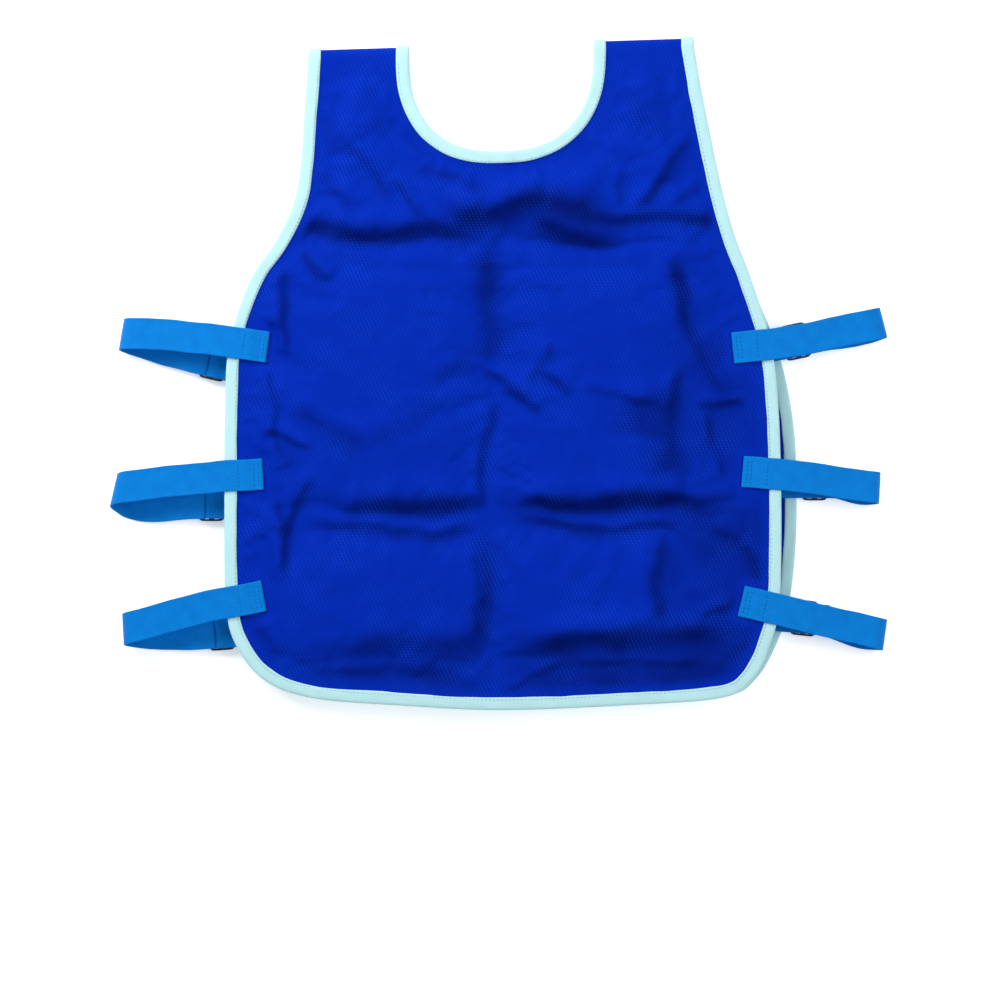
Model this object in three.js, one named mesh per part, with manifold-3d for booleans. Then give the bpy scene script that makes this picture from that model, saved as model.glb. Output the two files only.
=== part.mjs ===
// A cooling vest laid flat on its back. Millimetres, +Z up, shoulders towards +Y, origin under the middle.
// Two quilted panels, front and back, are alike and meet at the shoulder folds. Tape binds every edge.
// Three webbing straps on each side loop from the front panel round to a slider on the back panel.
import * as THREE from 'three';
import { mergeVertices } from 'three/addons/utils/BufferGeometryUtils.js';
import Module from 'manifold-3d';

const wasm = await Module();
wasm.setup();

// Panels: the cut of the cloth
const vestLength = 534; // hem to shoulder fold, as it lies
const chestWidth = 444; // outside of the tape, across the middle
const neckWidth = 148; // between the tapes at the shoulder folds
const neckDepth = 87; // shoulder fold down to the neckline
const neckRoundness = 2.45; // exponent of the neckline's rounded square
const clothThickness = 2.4; // mesh, lining and seam allowance, stitched flat
const foldPress = 0.15; // share of the thickness lost at the crest of a shoulder fold
const shoulderRise = 7; // how much higher the +X side lies at the shoulders, over half the chest
const backShift = 14; // how far the back panel has slid out towards +X

// Padding: what the pockets hold, seen as swelling
const pocketMargin = 22; // flat cloth between a strap's sewn end and the pockets
const pocketTop = 0.69; // share of the length where the pockets end under the yoke
const pocketBottom = 0.085; // share of the length where they end above the hem
const outerSwell = 9;
const yokeSwell = 3.5;
const backInnerSwell = 3;
const frontInnerSwell = 1.5;
const swellSlope = 30; // width of the slope round the pockets
const foldWidth = 20; // a full-width fold, edge to edge
const torsoGap = 8; // open height for the body between the two panels

// Edge tape
const tapeThickness = 0.9;
const bindingWidth = 10;
const clearance = 0.35; // between pieces that touch

// Straps, tabs and sliders
const webbingWidth = 25;
const webbingThickness = 1.4;
const strapReach = 80; // tape edge to the centre of the loop's turn
const seatLength = 31; // what lies on a panel, sewn down
const seatStep = 7; // length over which a strap steps down off the tape
const loopTop = 20; // height of the webbing's upper side where it turns
const loopFloor = 0.1; // height of its under side there, just clear of what the padding rests on
const tailLength = 20; // from the slider's middle bar to the free end under the strap
const sliderThickness = 2.4;
const sliderBar = 4;
const sliderSlot = 4.6;
const sliderSide = 2.2; // frame beside the webbing
const sliderCorner = 1.6;
const slotPlay = 0.4; // room for the webbing at each end of a slot
const sliderLead = 2; // straight run of the strap before it reaches the slider

// Fineness of the facets
const gridStep = 19;
const tapeStep = 20;
const bendFlats = 3; // flats round a quarter of the shoulder fold

// The outer edge from shoulder to hem: height as a share of the length, width as a share of half the chest.
const EDGE = [
  { at: 'shoulder', up: 0.975, left: 0.697, right: 0.694 },
  { at: 'upper armhole', up: 0.91, left: 0.709, right: 0.724 },
  { at: 'armhole', up: 0.825, left: 0.723, right: 0.766 },
  { at: 'lower armhole', up: 0.765, left: 0.748, right: 0.799 },
  { at: 'armhole turn', up: 0.705, left: 0.813, right: 0.842 },
  { at: 'underarm', up: 0.645, left: 0.905, right: 0.899 },
  { at: 'upper strap', up: 0.55, left: 0.98, right: 0.97 },
  { at: 'chest', up: 0.45, left: 0.996, right: 0.998 },
  { at: 'waist', up: 0.3, left: 0.998, right: 1.008 },
  { at: 'lower strap', up: 0.165, left: 0.994, right: 1.002 },
  { at: 'corner start', up: 0.1, left: 0.96, right: 0.97 },
  { at: 'corner', up: 0.045, left: 0.855, right: 0.903 },
  { at: 'corner end', up: 0.018, left: 0.68, right: 0.79 },
  { at: 'hem', up: 0.007, left: 0.37, right: 0.44 },
];

// Folds and sewn lines that press the swelling in: ends as shares of half the chest and of the length,
// width as a share of the fold width, depth as a share of the swelling there.
const FOLDS = [
  { name: 'centre seam', x1: 0, up1: 0.7, x2: -0.01, up2: 0.09, width: 1.1, depth: 0.5 },
  { name: 'upper row seam', x1: -0.5, up1: 0.487, x2: 0.6, up2: 0.487, width: 1.1, depth: 0.25 },
  { name: 'lower row, left', x1: -0.74, up1: 0.292, x2: -0.06, up2: 0.31, width: 1.3, depth: 0.75 },
  { name: 'lower row, right', x1: 0.04, up1: 0.296, x2: 0.76, up2: 0.306, width: 1.3, depth: 0.8 },
  { name: 'yoke fold, left', x1: -0.76, up1: 0.7, x2: -0.1, up2: 0.712, width: 1.2, depth: 0.85 },
  { name: 'yoke fold, right', x1: -0.1, up1: 0.72, x2: 0.82, up2: 0.705, width: 1.4, depth: 0.85 },
  { name: 'left side crease', x1: -0.73, up1: 0.64, x2: -0.7, up2: 0.5, width: 1, depth: 0.5 },
  { name: 'right side crease', x1: 0.62, up1: 0.62, x2: 0.78, up2: 0.46, width: 1, depth: 0.45 },
];

// Straps: share of the length where the sewn end sits, shares of the reach for the turn and the slider,
// and the slopes of the sewn end, the run to the turn, the fold there and the slider, in degrees.
// The tab is the share of the slider's length that shows between the back panel and the slider.
const STRAPS = [
  {
    name: 'left_top', side: -1, up: 0.551, out: 0.977, turn: 0.089, slider: -0.19, tab: 0.4,
    slopes: { seat: 8, run: 1, fold: 9.5, slider: 13 },
  },
  {
    name: 'left_middle', side: -1, up: 0.35, out: 0.995, turn: -0.105, slider: -0.27, tab: 0.74,
    slopes: { seat: -3, run: -7, fold: 13, slider: 0 },
  },
  {
    name: 'left_bottom', side: -1, up: 0.161, out: 0.927, turn: -0.24, slider: -0.31, tab: 0.3,
    slopes: { seat: -10, run: -14, fold: -3, slider: -4 },
  },
  {
    name: 'right_top', side: 1, up: 0.548, out: 1.026, turn: 0.2, slider: 0.04, tab: 0.3,
    slopes: { seat: 6, run: 12, fold: 14, slider: 12 },
  },
  {
    name: 'right_middle', side: 1, up: 0.352, out: 0.8875, turn: -0.115, slider: -0.075, tab: 0.2,
    slopes: { seat: -5, run: -7.5, fold: -3, slider: 0 },
  },
  {
    name: 'right_bottom', side: 1, up: 0.15, out: 0.965, turn: -0.2275, slider: -0.09, tab: 0.2,
    slopes: { seat: -13.5, run: -13, fold: -8, slider: -6 },
  },
];

// Heights that follow from the stack of layers
const halfChest = chestWidth / 2;
const halfCloth = clothThickness / 2;
const tapeFace = halfCloth + clearance + tapeThickness; // outer face of the tape, from the cloth's middle
const layer = webbingThickness + clearance;
const sliderFloor = loopFloor + 2 * layer; // the tab's lower end and the free end pass under it
const backMiddle = sliderFloor + tapeFace; // height of the back cloth's middle at its edge
const restLift = backMiddle - halfCloth; // the padding rests on the floor this far below the cloth
const frontMiddle = backMiddle + clothThickness + backInnerSwell + torsoGap + frontInnerSwell;
const foldHeight = (frontMiddle + backMiddle) / 2;
const foldRadius = (frontMiddle - backMiddle) / 2;
const bendStart = vestLength - foldRadius - halfCloth;
const bendLength = (foldRadius * Math.PI) / 2; // cloth used up by a quarter turn
const crest = bendStart + bendLength;
const sliderLength = 3 * sliderBar + 2 * sliderSlot;
const pocketHalf = halfChest - seatLength - pocketMargin;
const pocketRange = [pocketBottom * vestLength, pocketTop * vestLength];

const clamp01 = (t) => Math.min(1, Math.max(0, t));
const smooth = (t) => clamp01(t) ** 2 * (3 - 2 * clamp01(t));

// Lays a point of the flat cloth down: x across, s up from the hem, h outwards from the cloth's middle.
// The cloth is flat up to the bend, then goes round a quarter of the shoulder fold in a few flats.
function lay(side, x, s, h) {
  const turn = clamp01((s - bendStart) / bendLength) * bendFlats;
  const flat = Math.min(Math.floor(turn), bendFlats - 1);
  const spoke = (i) => [
    Math.sin((i * Math.PI) / 2 / bendFlats),
    Math.cos((i * Math.PI) / 2 / bendFlats),
  ];
  const [[sin0, cos0], [sin1, cos1]] = [spoke(flat), spoke(flat + 1)];
  const along = turn - flat;
  const radius = foldRadius + h;
  const y = Math.min(s, bendStart) + radius * (sin0 + (sin1 - sin0) * along);
  const up = radius * (cos0 + (cos1 - cos0) * along);
  const rise = shoulderRise * (x / halfChest) * smooth((s / vestLength - 0.6) / 0.3);
  return side === 'front'
    ? new THREE.Vector3(x, y + rise, foldHeight + up)
    : new THREE.Vector3(x + slide(s), y + rise, foldHeight - up);
}

// How far the back panel has slid sideways at a height: most at the waist, none at the shoulders.
function slide(s) {
  const up = s / vestLength;
  return backShift * smooth((0.68 - up) / 0.3) * (0.3 + 0.7 * smooth(up / 0.3));
}

// Outer edge of the cloth: left shoulder, round the hem, right shoulder. Each station has a place and
// the direction that points into the cloth.
function edgeStations() {
  const left = EDGE.map((row) => new THREE.Vector2(-row.left * halfChest, row.up * vestLength));
  const right = EDGE.map((row) => new THREE.Vector2(row.right * halfChest, row.up * vestLength));
  left[0].y = bendStart;
  right[0].y = bendStart;
  const hemMiddle = new THREE.Vector2(0, 0);
  const curve = new THREE.SplineCurve([...left, hemMiddle, ...right.reverse()]);
  return stationsAlong(curve, Math.round(curve.getLength() / tapeStep));
}

// The neckline: a rounded square between the shoulders, from right to left.
function neckStations() {
  class Neckline extends THREE.Curve {
    getPoint(t, target = new THREE.Vector2()) {
      const angle = Math.PI * t;
      const round = (v) => Math.sign(v) * Math.abs(v) ** (2 / neckRoundness);
      const x = (neckWidth / 2) * round(Math.cos(angle));
      const depth = (bendStart - (vestLength - neckDepth)) * round(Math.sin(angle));
      return target.set(x, bendStart - depth);
    }
  }
  const curve = new Neckline();
  return stationsAlong(curve, Math.round(curve.getLength() / (tapeStep / 1.6)));
}

// Evenly spaced stations on a curve with the cloth to the left of travel, carried straight on over the
// shoulder folds at both ends.
function stationsAlong(curve, count) {
  const middle = curve.getSpacedPoints(count).map((place, i) => {
    const tangent = curve.getTangentAt(i / count);
    return { x: place.x, s: place.y, inX: -tangent.y, inS: tangent.x };
  });
  const level = (station) => ({ ...station, inX: Math.sign(station.inX), inS: 0 });
  const first = level(middle[0]);
  const last = level(middle[count]);
  const folds = [];
  for (let i = 1; i <= bendFlats; i++) folds.push(bendStart + (bendLength * i) / bendFlats);
  return [
    ...folds.map((s) => ({ ...first, s })).reverse(),
    first,
    ...middle.slice(1, -1),
    last,
    ...folds.map((s) => ({ ...last, s })),
  ];
}

const edge = edgeStations();
const neck = neckStations();
const inset = (station, depth) =>
  new THREE.Vector2(station.x + station.inX * depth, station.s + station.inS * depth);

// Distance from a point of the cloth to its nearest edge.
function edgeDistance(x, s) {
  const point = new THREE.Vector3(x, s, 0);
  const nearest = new THREE.Vector3();
  const segment = new THREE.Line3();
  let least = Infinity;
  for (const stations of [edge, neck]) {
    for (let i = 1; i < stations.length; i++) {
      segment.start.set(stations[i - 1].x, stations[i - 1].s, 0);
      segment.end.set(stations[i].x, stations[i].s, 0);
      segment.closestPointToPoint(point, true, nearest);
      least = Math.min(least, nearest.distanceTo(point));
    }
  }
  return least;
}

// Width of the cloth on one side at a height, to the outer edge of the tape.
function edgeAt(side, s) {
  for (let i = 1; i < edge.length; i++) {
    const [a, b] = [edge[i - 1], edge[i]];
    const crosses = (a.s - s) * (b.s - s) <= 0 && a.s !== b.s;
    if (crosses && Math.sign(a.x + b.x) === side) return a.x + ((b.x - a.x) * (s - a.s)) / (b.s - a.s);
  }
  throw new Error('no edge at ' + s);
}

// How much of the swelling the folds leave at a point, from 0 to 1.
function foldsLeave(x, s) {
  return FOLDS.reduce((left, fold) => {
    const line = new THREE.Line3(
      new THREE.Vector3(fold.x1 * halfChest, fold.up1 * vestLength, 0),
      new THREE.Vector3(fold.x2 * halfChest, fold.up2 * vestLength, 0),
    );
    const point = new THREE.Vector3(x, s, 0);
    const away = line.closestPointToPoint(point, true, new THREE.Vector3()).distanceTo(point);
    const half = (fold.width * foldWidth) / 2;
    return left * (1 - fold.depth * Math.exp(-((away / half) ** 2)));
  }, 1);
}

// The pockets' swelling as a share of its full height: a flat top with a slope all round.
function pocketShare(x, s) {
  const across = smooth((pocketHalf - Math.abs(x)) / swellSlope);
  const low = smooth((s - pocketRange[0]) / swellSlope);
  const high = smooth((pocketRange[1] - s) / swellSlope);
  return across * low * high;
}

// The yoke's slighter swelling between the pockets, the neckline and the armholes.
function yokeShare(x, s) {
  const fromTape = edgeDistance(x, s) - bindingWidth - 0.85 * gridStep;
  const inside = smooth(fromTape / (1.5 * bindingWidth));
  const above = smooth((s - pocketRange[1] + swellSlope) / swellSlope);
  const belowBend = smooth((bendStart - s) / swellSlope);
  return inside * above * belowBend;
}

const swelling = (x, s) =>
  Math.max(outerSwell * pocketShare(x, s), yokeSwell * yokeShare(x, s)) * foldsLeave(x, s);
const FACES = {
  front: {
    outer: swelling,
    inner: (x, s) => frontInnerSwell * pocketShare(x, s),
  },
  back: {
    outer: (x, s) => Math.min(swelling(x, s), restLift), // the floor flattens it
    inner: (x, s) => backInnerSwell * pocketShare(x, s) * foldsLeave(x, s),
  },
};

// Grid lines through every stop, no further apart than the step.
function linesThrough(stops, step) {
  const lines = [stops[0]];
  for (let i = 1; i < stops.length; i++) {
    const count = Math.max(1, Math.round((stops[i] - stops[i - 1]) / step));
    for (let j = 1; j <= count; j++) {
      lines.push(stops[i - 1] + ((stops[i] - stops[i - 1]) * j) / count);
    }
  }
  return lines;
}

// Half the cloth's thickness: it is pressed a little thinner over the shoulder fold.
const halfThick = (s) => halfCloth * (1 - foldPress * clamp01((s - bendStart) / bendLength) ** 2);

// A closed block between two height maps over a grid of the flat cloth.
function quiltBlock(columns, rows, faces) {
  const positions = [];
  const index = [];
  for (const sign of [1, -1]) {
    for (const s of rows) {
      for (const x of columns) {
        const relief = sign > 0 ? faces.outer(x, s) : faces.inner(x, s);
        positions.push(x, s, sign * (halfThick(s) + relief));
      }
    }
  }
  const [wide, tall] = [columns.length, rows.length];
  const at = (i, j, sheet) => sheet * wide * tall + j * wide + i;
  const quad = (a, b, c, d) => index.push(a, b, c, a, c, d);
  for (let j = 0; j < tall - 1; j++) {
    for (let i = 0; i < wide - 1; i++) {
      quad(at(i, j, 0), at(i + 1, j, 0), at(i + 1, j + 1, 0), at(i, j + 1, 0));
      quad(at(i, j, 1), at(i, j + 1, 1), at(i + 1, j + 1, 1), at(i + 1, j, 1));
    }
  }
  for (let i = 0; i < wide - 1; i++) {
    quad(at(i, 0, 1), at(i + 1, 0, 1), at(i + 1, 0, 0), at(i, 0, 0));
    quad(at(i, tall - 1, 0), at(i + 1, tall - 1, 0), at(i + 1, tall - 1, 1), at(i, tall - 1, 1));
  }
  for (let j = 0; j < tall - 1; j++) {
    quad(at(0, j, 0), at(0, j + 1, 0), at(0, j + 1, 1), at(0, j, 1));
    quad(at(wide - 1, j, 1), at(wide - 1, j + 1, 1), at(wide - 1, j + 1, 0), at(wide - 1, j, 0));
  }
  return meshOf(positions, index);
}

function meshOf(positions, index) {
  const geometry = new THREE.BufferGeometry();
  geometry.setAttribute('position', new THREE.Float32BufferAttribute(positions, 3));
  geometry.setIndex(index);
  return geometry;
}

function solidOf(geometry) {
  const bare = new THREE.BufferGeometry();
  bare.setAttribute('position', geometry.getAttribute('position'));
  bare.setIndex(geometry.getIndex());
  const merged = mergeVertices(bare, 1e-3);
  return new wasm.Manifold(
    new wasm.Mesh({
      numProp: 3,
      vertProperties: merged.attributes.position.array,
      triVerts: new Uint32Array(merged.index.array),
    }),
  );
}

// The mesh of a cut or joined solid, each point moved by a function of its place.
function geometryOf(solid, move = (x, y, z) => [x, y, z]) {
  const mesh = solid.getMesh();
  const positions = [];
  for (let i = 0; i < mesh.numVert; i++) {
    const start = i * mesh.numProp;
    positions.push(...move(...mesh.vertProperties.subarray(start, start + 3)));
  }
  return meshOf(positions, [...mesh.triVerts]);
}

// One panel: the quilted block cut to the cloth's outline, then laid down point by point.
function panel(side) {
  const columns = linesThrough(
    [-1.05 * halfChest, -pocketHalf, 0, pocketHalf, 1.05 * halfChest],
    gridStep,
  );
  const rowSeams = FOLDS.filter((fold) => fold.up1 < pocketTop && fold.x2 > 0.5)
    .map((fold) => fold.up1 * vestLength)
    .sort((a, b) => a - b);
  const flats = [];
  for (let i = 1; i < bendFlats; i++) flats.push(bendStart + (bendLength * i) / bendFlats);
  const top = crest - clearance / 2;
  const rows = linesThrough(
    [-gridStep, pocketRange[0], ...new Set(rowSeams), pocketRange[1], bendStart, ...flats, top],
    gridStep,
  );
  const depth = tapeThickness + clearance;
  const cut = [...edge, ...neck].map((station) => inset(station, depth));
  const beyond = (p) => new THREE.Vector2(p.x, p.y > crest - 1e-6 ? crest + gridStep : p.y);
  const tall = outerSwell * 4;
  const outline = new THREE.ExtrudeGeometry(new THREE.Shape(cut.map(beyond)), {
    depth: tall,
    bevelEnabled: false,
  });
  outline.translate(0, 0, -tall / 2);
  const solid = solidOf(quiltBlock(columns, rows, FACES[side])).intersect(solidOf(outline));
  const laid = geometryOf(solid, (x, s, h) => lay(side, x, s, h));
  if (side === 'back') laid.getIndex().array.reverse(); // laid face down, so its faces turn over
  return laid;
}

// Joins rings of points into a closed body: a loop if it comes back to its start, or else with end caps.
function skin(rings, closed) {
  const around = rings[0].length;
  const positions = rings.flat().flatMap((p) => [p.x, p.y, p.z]);
  const index = [];
  const spans = closed ? rings.length : rings.length - 1;
  for (let i = 0; i < spans; i++) {
    const next = (i + 1) % rings.length;
    for (let j = 0; j < around; j++) {
      const k = (j + 1) % around;
      const [a, b, c, d] = [i * around + j, i * around + k, next * around + k, next * around + j];
      index.push(a, b, c, a, c, d);
    }
  }
  if (!closed) {
    const last = (rings.length - 1) * around;
    for (let j = 1; j < around - 1; j++) {
      index.push(0, j + 1, j);
      index.push(last, last + j, last + j + 1);
    }
  }
  return meshOf(positions, index);
}

// A tape folded over the edge, in section a U: along the front stations, over a shoulder fold,
// back along the same stations of the back panel, and over the other shoulder fold to its start.
function binding(stations) {
  const [slot, face] = [halfCloth + clearance, tapeFace];
  const profile = [
    [0, -face], [bindingWidth, -face], [bindingWidth, -slot], [tapeThickness, -slot],
    [tapeThickness, slot], [bindingWidth, slot], [bindingWidth, face], [0, face],
  ];
  const ring = (side, station) =>
    profile.map(([depth, h]) => {
      const place = inset(station, depth);
      return lay(side, place.x, place.y, h);
    });
  const front = stations.map((station) => ring('front', station));
  const back = stations.slice(1, -1).map((station) => ring('back', station));
  return skin([...front, ...back.reverse()], true);
}

// Flat webbing along a path: each station has a place, the level direction in which the webbing is cut
// across there, and how much wider than the webbing that slanted cut is.
function webbing(path) {
  const rings = path.map(({ place, wide, slant }, i) => {
    const legs = [Math.max(1, i), Math.min(path.length - 1, i + 1)].map((j) =>
      path[j].place.clone().sub(path[j - 1].place).projectOnPlane(wide).normalize(),
    );
    const tangent = legs[0].clone().add(legs[1]).normalize();
    const mitre = 1 / Math.max(0.5, tangent.dot(legs[0]));
    const thick = new THREE.Vector3().crossVectors(tangent, wide).normalize();
    const corner = (across, through) =>
      place.clone()
        .addScaledVector(wide, (across * slant * webbingWidth) / 2)
        .addScaledVector(thick, (through * mitre * webbingThickness) / 2);
    return [corner(-1, -1), corner(1, -1), corner(1, 1), corner(-1, 1)];
  });
  return skin(rings, false);
}

const plan = (x, y) => new THREE.Vector3(x, y, 0);
const sideways = (direction) => plan(-direction.y, direction.x);

// A station of webbing that runs along a direction in plan and is cut across along another.
function bandStation(at, z, way, cut = sideways(way)) {
  const wide = cut.clone().normalize();
  return { place: plan(at.x, at.y).setZ(z), wide, slant: 1 / wide.dot(sideways(way)) };
}

// Height of a strap's middle above the cloth's middle, at a distance in from the edge of the tape.
function seatHeight(inward) {
  const lowered = smooth((inward - bindingWidth - seatStep) / seatStep);
  const [onTape, onCloth] = [tapeFace, halfCloth];
  return onTape + (onCloth - onTape) * lowered + clearance + webbingThickness / 2;
}

// Where a strap's main points lie, seen from above, and its directions there, all pointing outwards.
function strapPlan({ side, up, out, turn: turnRise, slider: sliderRise, tab, slopes }) {
  const s = up * vestLength;
  const start = plan(edgeAt(side, s), s);
  const turn = plan(start.x + side * out * strapReach, s + turnRise * strapReach);
  const sliderHeight = s + sliderRise * strapReach;
  const backEdge = edgeAt(side, sliderHeight) + slide(sliderHeight);
  const shown = tab * sliderLength;
  const slider = plan(backEdge + side * (shown + sliderLength / 2), sliderHeight);
  const sloping = (degrees) => {
    const angle = THREE.MathUtils.degToRad(degrees);
    return plan(side * Math.cos(angle), Math.sin(angle));
  };
  const ways = {
    seat: sloping(slopes.seat),
    run: sloping(slopes.run),
    fold: sloping(slopes.fold),
    back: sloping(2 * slopes.fold - slopes.run), // a flat band leaves a fold as it came, mirrored
    slider: sloping(slopes.slider),
  };
  return { start, turn, slider, ways, shown };
}

// A cubic in plan that leaves one point along a direction and reaches another along a second one.
function runBetween(from, leaving, to, arriving) {
  const third = from.distanceTo(to) / 3;
  return new THREE.CubicBezierCurve3(
    from,
    from.clone().addScaledVector(leaving, third),
    to.clone().addScaledVector(arriving, -third),
    to,
  );
}

// One strap: sewn end on the front panel, loop, and back over the slider's outer bar, round it and out
// underneath. At its end the loop goes round an upright half circle whose axis lies along the fold.
function strap(row) {
  const { start, turn, slider, ways } = strapPlan(row);
  const half = webbingThickness / 2;
  const seatTop = frontMiddle + seatHeight(0);
  const seatStops = [seatLength, bindingWidth + 2 * seatStep, bindingWidth + seatStep, 0];
  const path = seatStops.map((inward) => {
    const at = start.clone().addScaledVector(ways.seat, -inward);
    return bandStation(at, frontMiddle + seatHeight(inward), ways.seat);
  });
  const [turnTop, turnFloor] = [loopTop - half, loopFloor + half];
  const axis = sideways(ways.fold);
  const out = runBetween(start, ways.seat, turn, ways.run);
  for (const share of [0.12, 0.35, 0.6, 0.85]) {
    const way = out.getTangent(share);
    const cut = sideways(way).lerp(axis, smooth(share));
    const z = seatTop + (turnTop - seatTop) * smooth(share / 0.9);
    path.push(bandStation(out.getPoint(share), z, way, cut));
  }
  const radius = (turnTop - turnFloor) / 2;
  const skew = ways.run.dot(axis) / ways.run.dot(ways.fold);
  const along = (swing) =>
    turn.clone()
      .addScaledVector(ways.fold, radius * Math.sin(swing))
      .addScaledVector(axis, radius * swing * skew);
  const turnSteps = 8;
  for (let i = 0; i <= turnSteps; i++) {
    const swing = (Math.PI * i) / turnSteps;
    path.push(bandStation(along(swing), turnFloor + radius * (1 + Math.cos(swing)), ways.run, axis));
  }
  const overBar = sliderFloor + sliderThickness + clearance + half;
  const underBar = sliderFloor - clearance - half;
  const inward = (way) => way.clone().negate();
  const mouth = slider.clone().addScaledVector(ways.slider, sliderLength / 2 + sliderLead);
  const back = runBetween(along(Math.PI), inward(ways.back), mouth, inward(ways.slider));
  for (const share of [0.2, 0.45, 0.7, 1]) {
    const way = inward(back.getTangent(share));
    const cut = axis.clone().lerp(sideways(way), smooth(share));
    path.push(bandStation(back.getPoint(share), turnFloor + (overBar - turnFloor) * smooth(share), way, cut));
  }
  const dive = sliderLength / 2 - sliderBar - clearance - half;
  for (const [reach, z] of [[dive, overBar], [dive, underBar], [tailLength, turnFloor]]) {
    path.push(bandStation(slider.clone().addScaledVector(ways.slider, reach), z, ways.slider));
  }
  return webbing(path);
}

// One tab: webbing folded round the slider's middle bar, its two ends sewn over and under the back panel.
function tab(row) {
  const { slider, ways, shown } = strapPlan(row);
  const half = webbingThickness / 2;
  const under = sliderFloor - clearance - half;
  const over = sliderFloor + sliderThickness + clearance + half;
  const fold = sliderBar / 2 + clearance + half;
  const bar = -sliderLength / 2;
  const end = bar - shown - seatLength;
  const onTape = backMiddle + seatHeight(0);
  const onCloth = backMiddle + seatHeight(seatLength);
  const stepEnd = bar - shown - bindingWidth - 2 * seatStep;
  const section = [
    [end, onCloth],
    [stepEnd, onCloth],
    [stepEnd + seatStep, onTape],
    [bar - shown / 2, onTape],
    [bar + sliderBar / 3, over],
    [fold, over],
    [fold, under],
    [stepEnd + seatStep, under],
    [end, under],
  ];
  return webbing(
    section.map(([along, z]) => bandStation(slider.clone().addScaledVector(ways.slider, along), z, ways.slider)),
  );
}

// A three-bar slider: a flat frame with rounded corners and two slots across the webbing.
function sliderFrame() {
  const reach = webbingWidth / 2 + slotPlay;
  const [long, wide, round] = [sliderLength / 2, reach + sliderSide, sliderCorner];
  const outline = new THREE.Shape();
  outline.absarc(long - round, -wide + round, round, -Math.PI / 2, 0);
  outline.absarc(long - round, wide - round, round, 0, Math.PI / 2);
  outline.absarc(-long + round, wide - round, round, Math.PI / 2, Math.PI);
  outline.absarc(-long + round, -wide + round, round, Math.PI, 1.5 * Math.PI);
  const plate = { depth: sliderThickness, bevelEnabled: false, curveSegments: 2 };
  let frame = solidOf(new THREE.ExtrudeGeometry(outline, plate));
  for (const way of [-1, 1]) {
    const slot = new THREE.BoxGeometry(sliderSlot, 2 * reach, 3 * sliderThickness);
    slot.translate((way * (sliderBar + sliderSlot)) / 2, 0, 0);
    frame = frame.subtract(solidOf(slot));
  }
  return geometryOf(frame);
}

const MATERIALS = {
  meshCloth: new THREE.MeshStandardMaterial({ color: 0x0a2cb4, roughness: 0.75, metalness: 0 }),
  bindingTape: new THREE.MeshStandardMaterial({ color: 0xc4eef0, roughness: 0.8, metalness: 0 }),
  webbing: new THREE.MeshStandardMaterial({ color: 0x0b84dc, roughness: 0.7, metalness: 0 }),
  blackPlastic: new THREE.MeshStandardMaterial({ color: 0x141826, roughness: 0.45, metalness: 0 }),
};

const vest = new THREE.Group();
function place(name, geometry, material) {
  const mesh = new THREE.Mesh(geometry, material);
  mesh.name = name;
  vest.add(mesh);
  return mesh;
}

place('front_panel', panel('front'), MATERIALS.meshCloth);
place('back_panel', panel('back'), MATERIALS.meshCloth);
place('edge_binding', binding(edge), MATERIALS.bindingTape);
place('neck_binding', binding(neck), MATERIALS.bindingTape);
for (const row of STRAPS) {
  place('strap_' + row.name, strap(row), MATERIALS.webbing);
  place('tab_' + row.name, tab(row), MATERIALS.webbing);
  const frame = place('slider_' + row.name, sliderFrame(), MATERIALS.blackPlastic);
  const { slider, ways } = strapPlan(row);
  frame.position.set(slider.x, slider.y, sliderFloor);
  frame.rotation.z = Math.atan2(ways.slider.y, ways.slider.x);
}

// The origin goes under the middle of the whole vest, on the surface that it lies on.
const box = new THREE.Box3().setFromObject(vest, true);
const middle = box.getCenter(new THREE.Vector3());
vest.position.set(-middle.x, -middle.y, -box.min.z);

const root = new THREE.Group();
root.add(vest);
export default root;
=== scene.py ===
"""A cooling vest of blue mesh cloth, laid flat: padded panels, bound edges, webbing loops and sliders."""

import math
from types import SimpleNamespace

import bmesh
import bpy
import numpy as np
from bpy.props import FloatProperty, FloatVectorProperty, IntProperty, PointerProperty
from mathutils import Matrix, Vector


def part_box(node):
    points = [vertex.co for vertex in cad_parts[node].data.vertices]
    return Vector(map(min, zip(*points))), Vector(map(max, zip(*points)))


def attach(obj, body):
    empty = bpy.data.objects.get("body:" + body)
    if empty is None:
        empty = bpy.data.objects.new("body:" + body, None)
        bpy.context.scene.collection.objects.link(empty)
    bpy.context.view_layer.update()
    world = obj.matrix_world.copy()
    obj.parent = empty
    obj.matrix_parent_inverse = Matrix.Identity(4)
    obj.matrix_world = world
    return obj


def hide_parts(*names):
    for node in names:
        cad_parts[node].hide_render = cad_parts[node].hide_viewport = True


bl_info = {
    "name": "Cooling vest",
    "version": (1, 0, 0),
    "blender": (4, 5, 0),
    "location": "View3D > Sidebar > Vest",
    "description": "Builds a padded cooling vest laid flat, with its tape, webbing and sliders",
    "category": "Object",
}

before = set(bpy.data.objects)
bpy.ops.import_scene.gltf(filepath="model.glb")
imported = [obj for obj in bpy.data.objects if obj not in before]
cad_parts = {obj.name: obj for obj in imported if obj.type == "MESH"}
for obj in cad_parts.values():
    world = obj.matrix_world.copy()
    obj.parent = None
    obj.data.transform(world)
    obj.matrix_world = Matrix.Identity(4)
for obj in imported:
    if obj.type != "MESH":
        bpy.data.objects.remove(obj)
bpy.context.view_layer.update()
MM = 0.001
SEED = 7


def linear(hex_colour):
    """Turns an sRGB hex colour into linear red, green, blue and alpha."""
    parts = [int(hex_colour[i : i + 2], 16) / 255 for i in (1, 3, 5)]
    return [c / 12.92 if c <= 0.04045 else ((c + 0.055) / 1.055) ** 2.4 for c in parts] + [1.0]


def length(name, description, millimetres):
    return FloatProperty(name=name, description=description, default=millimetres * MM, unit="LENGTH")


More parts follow.
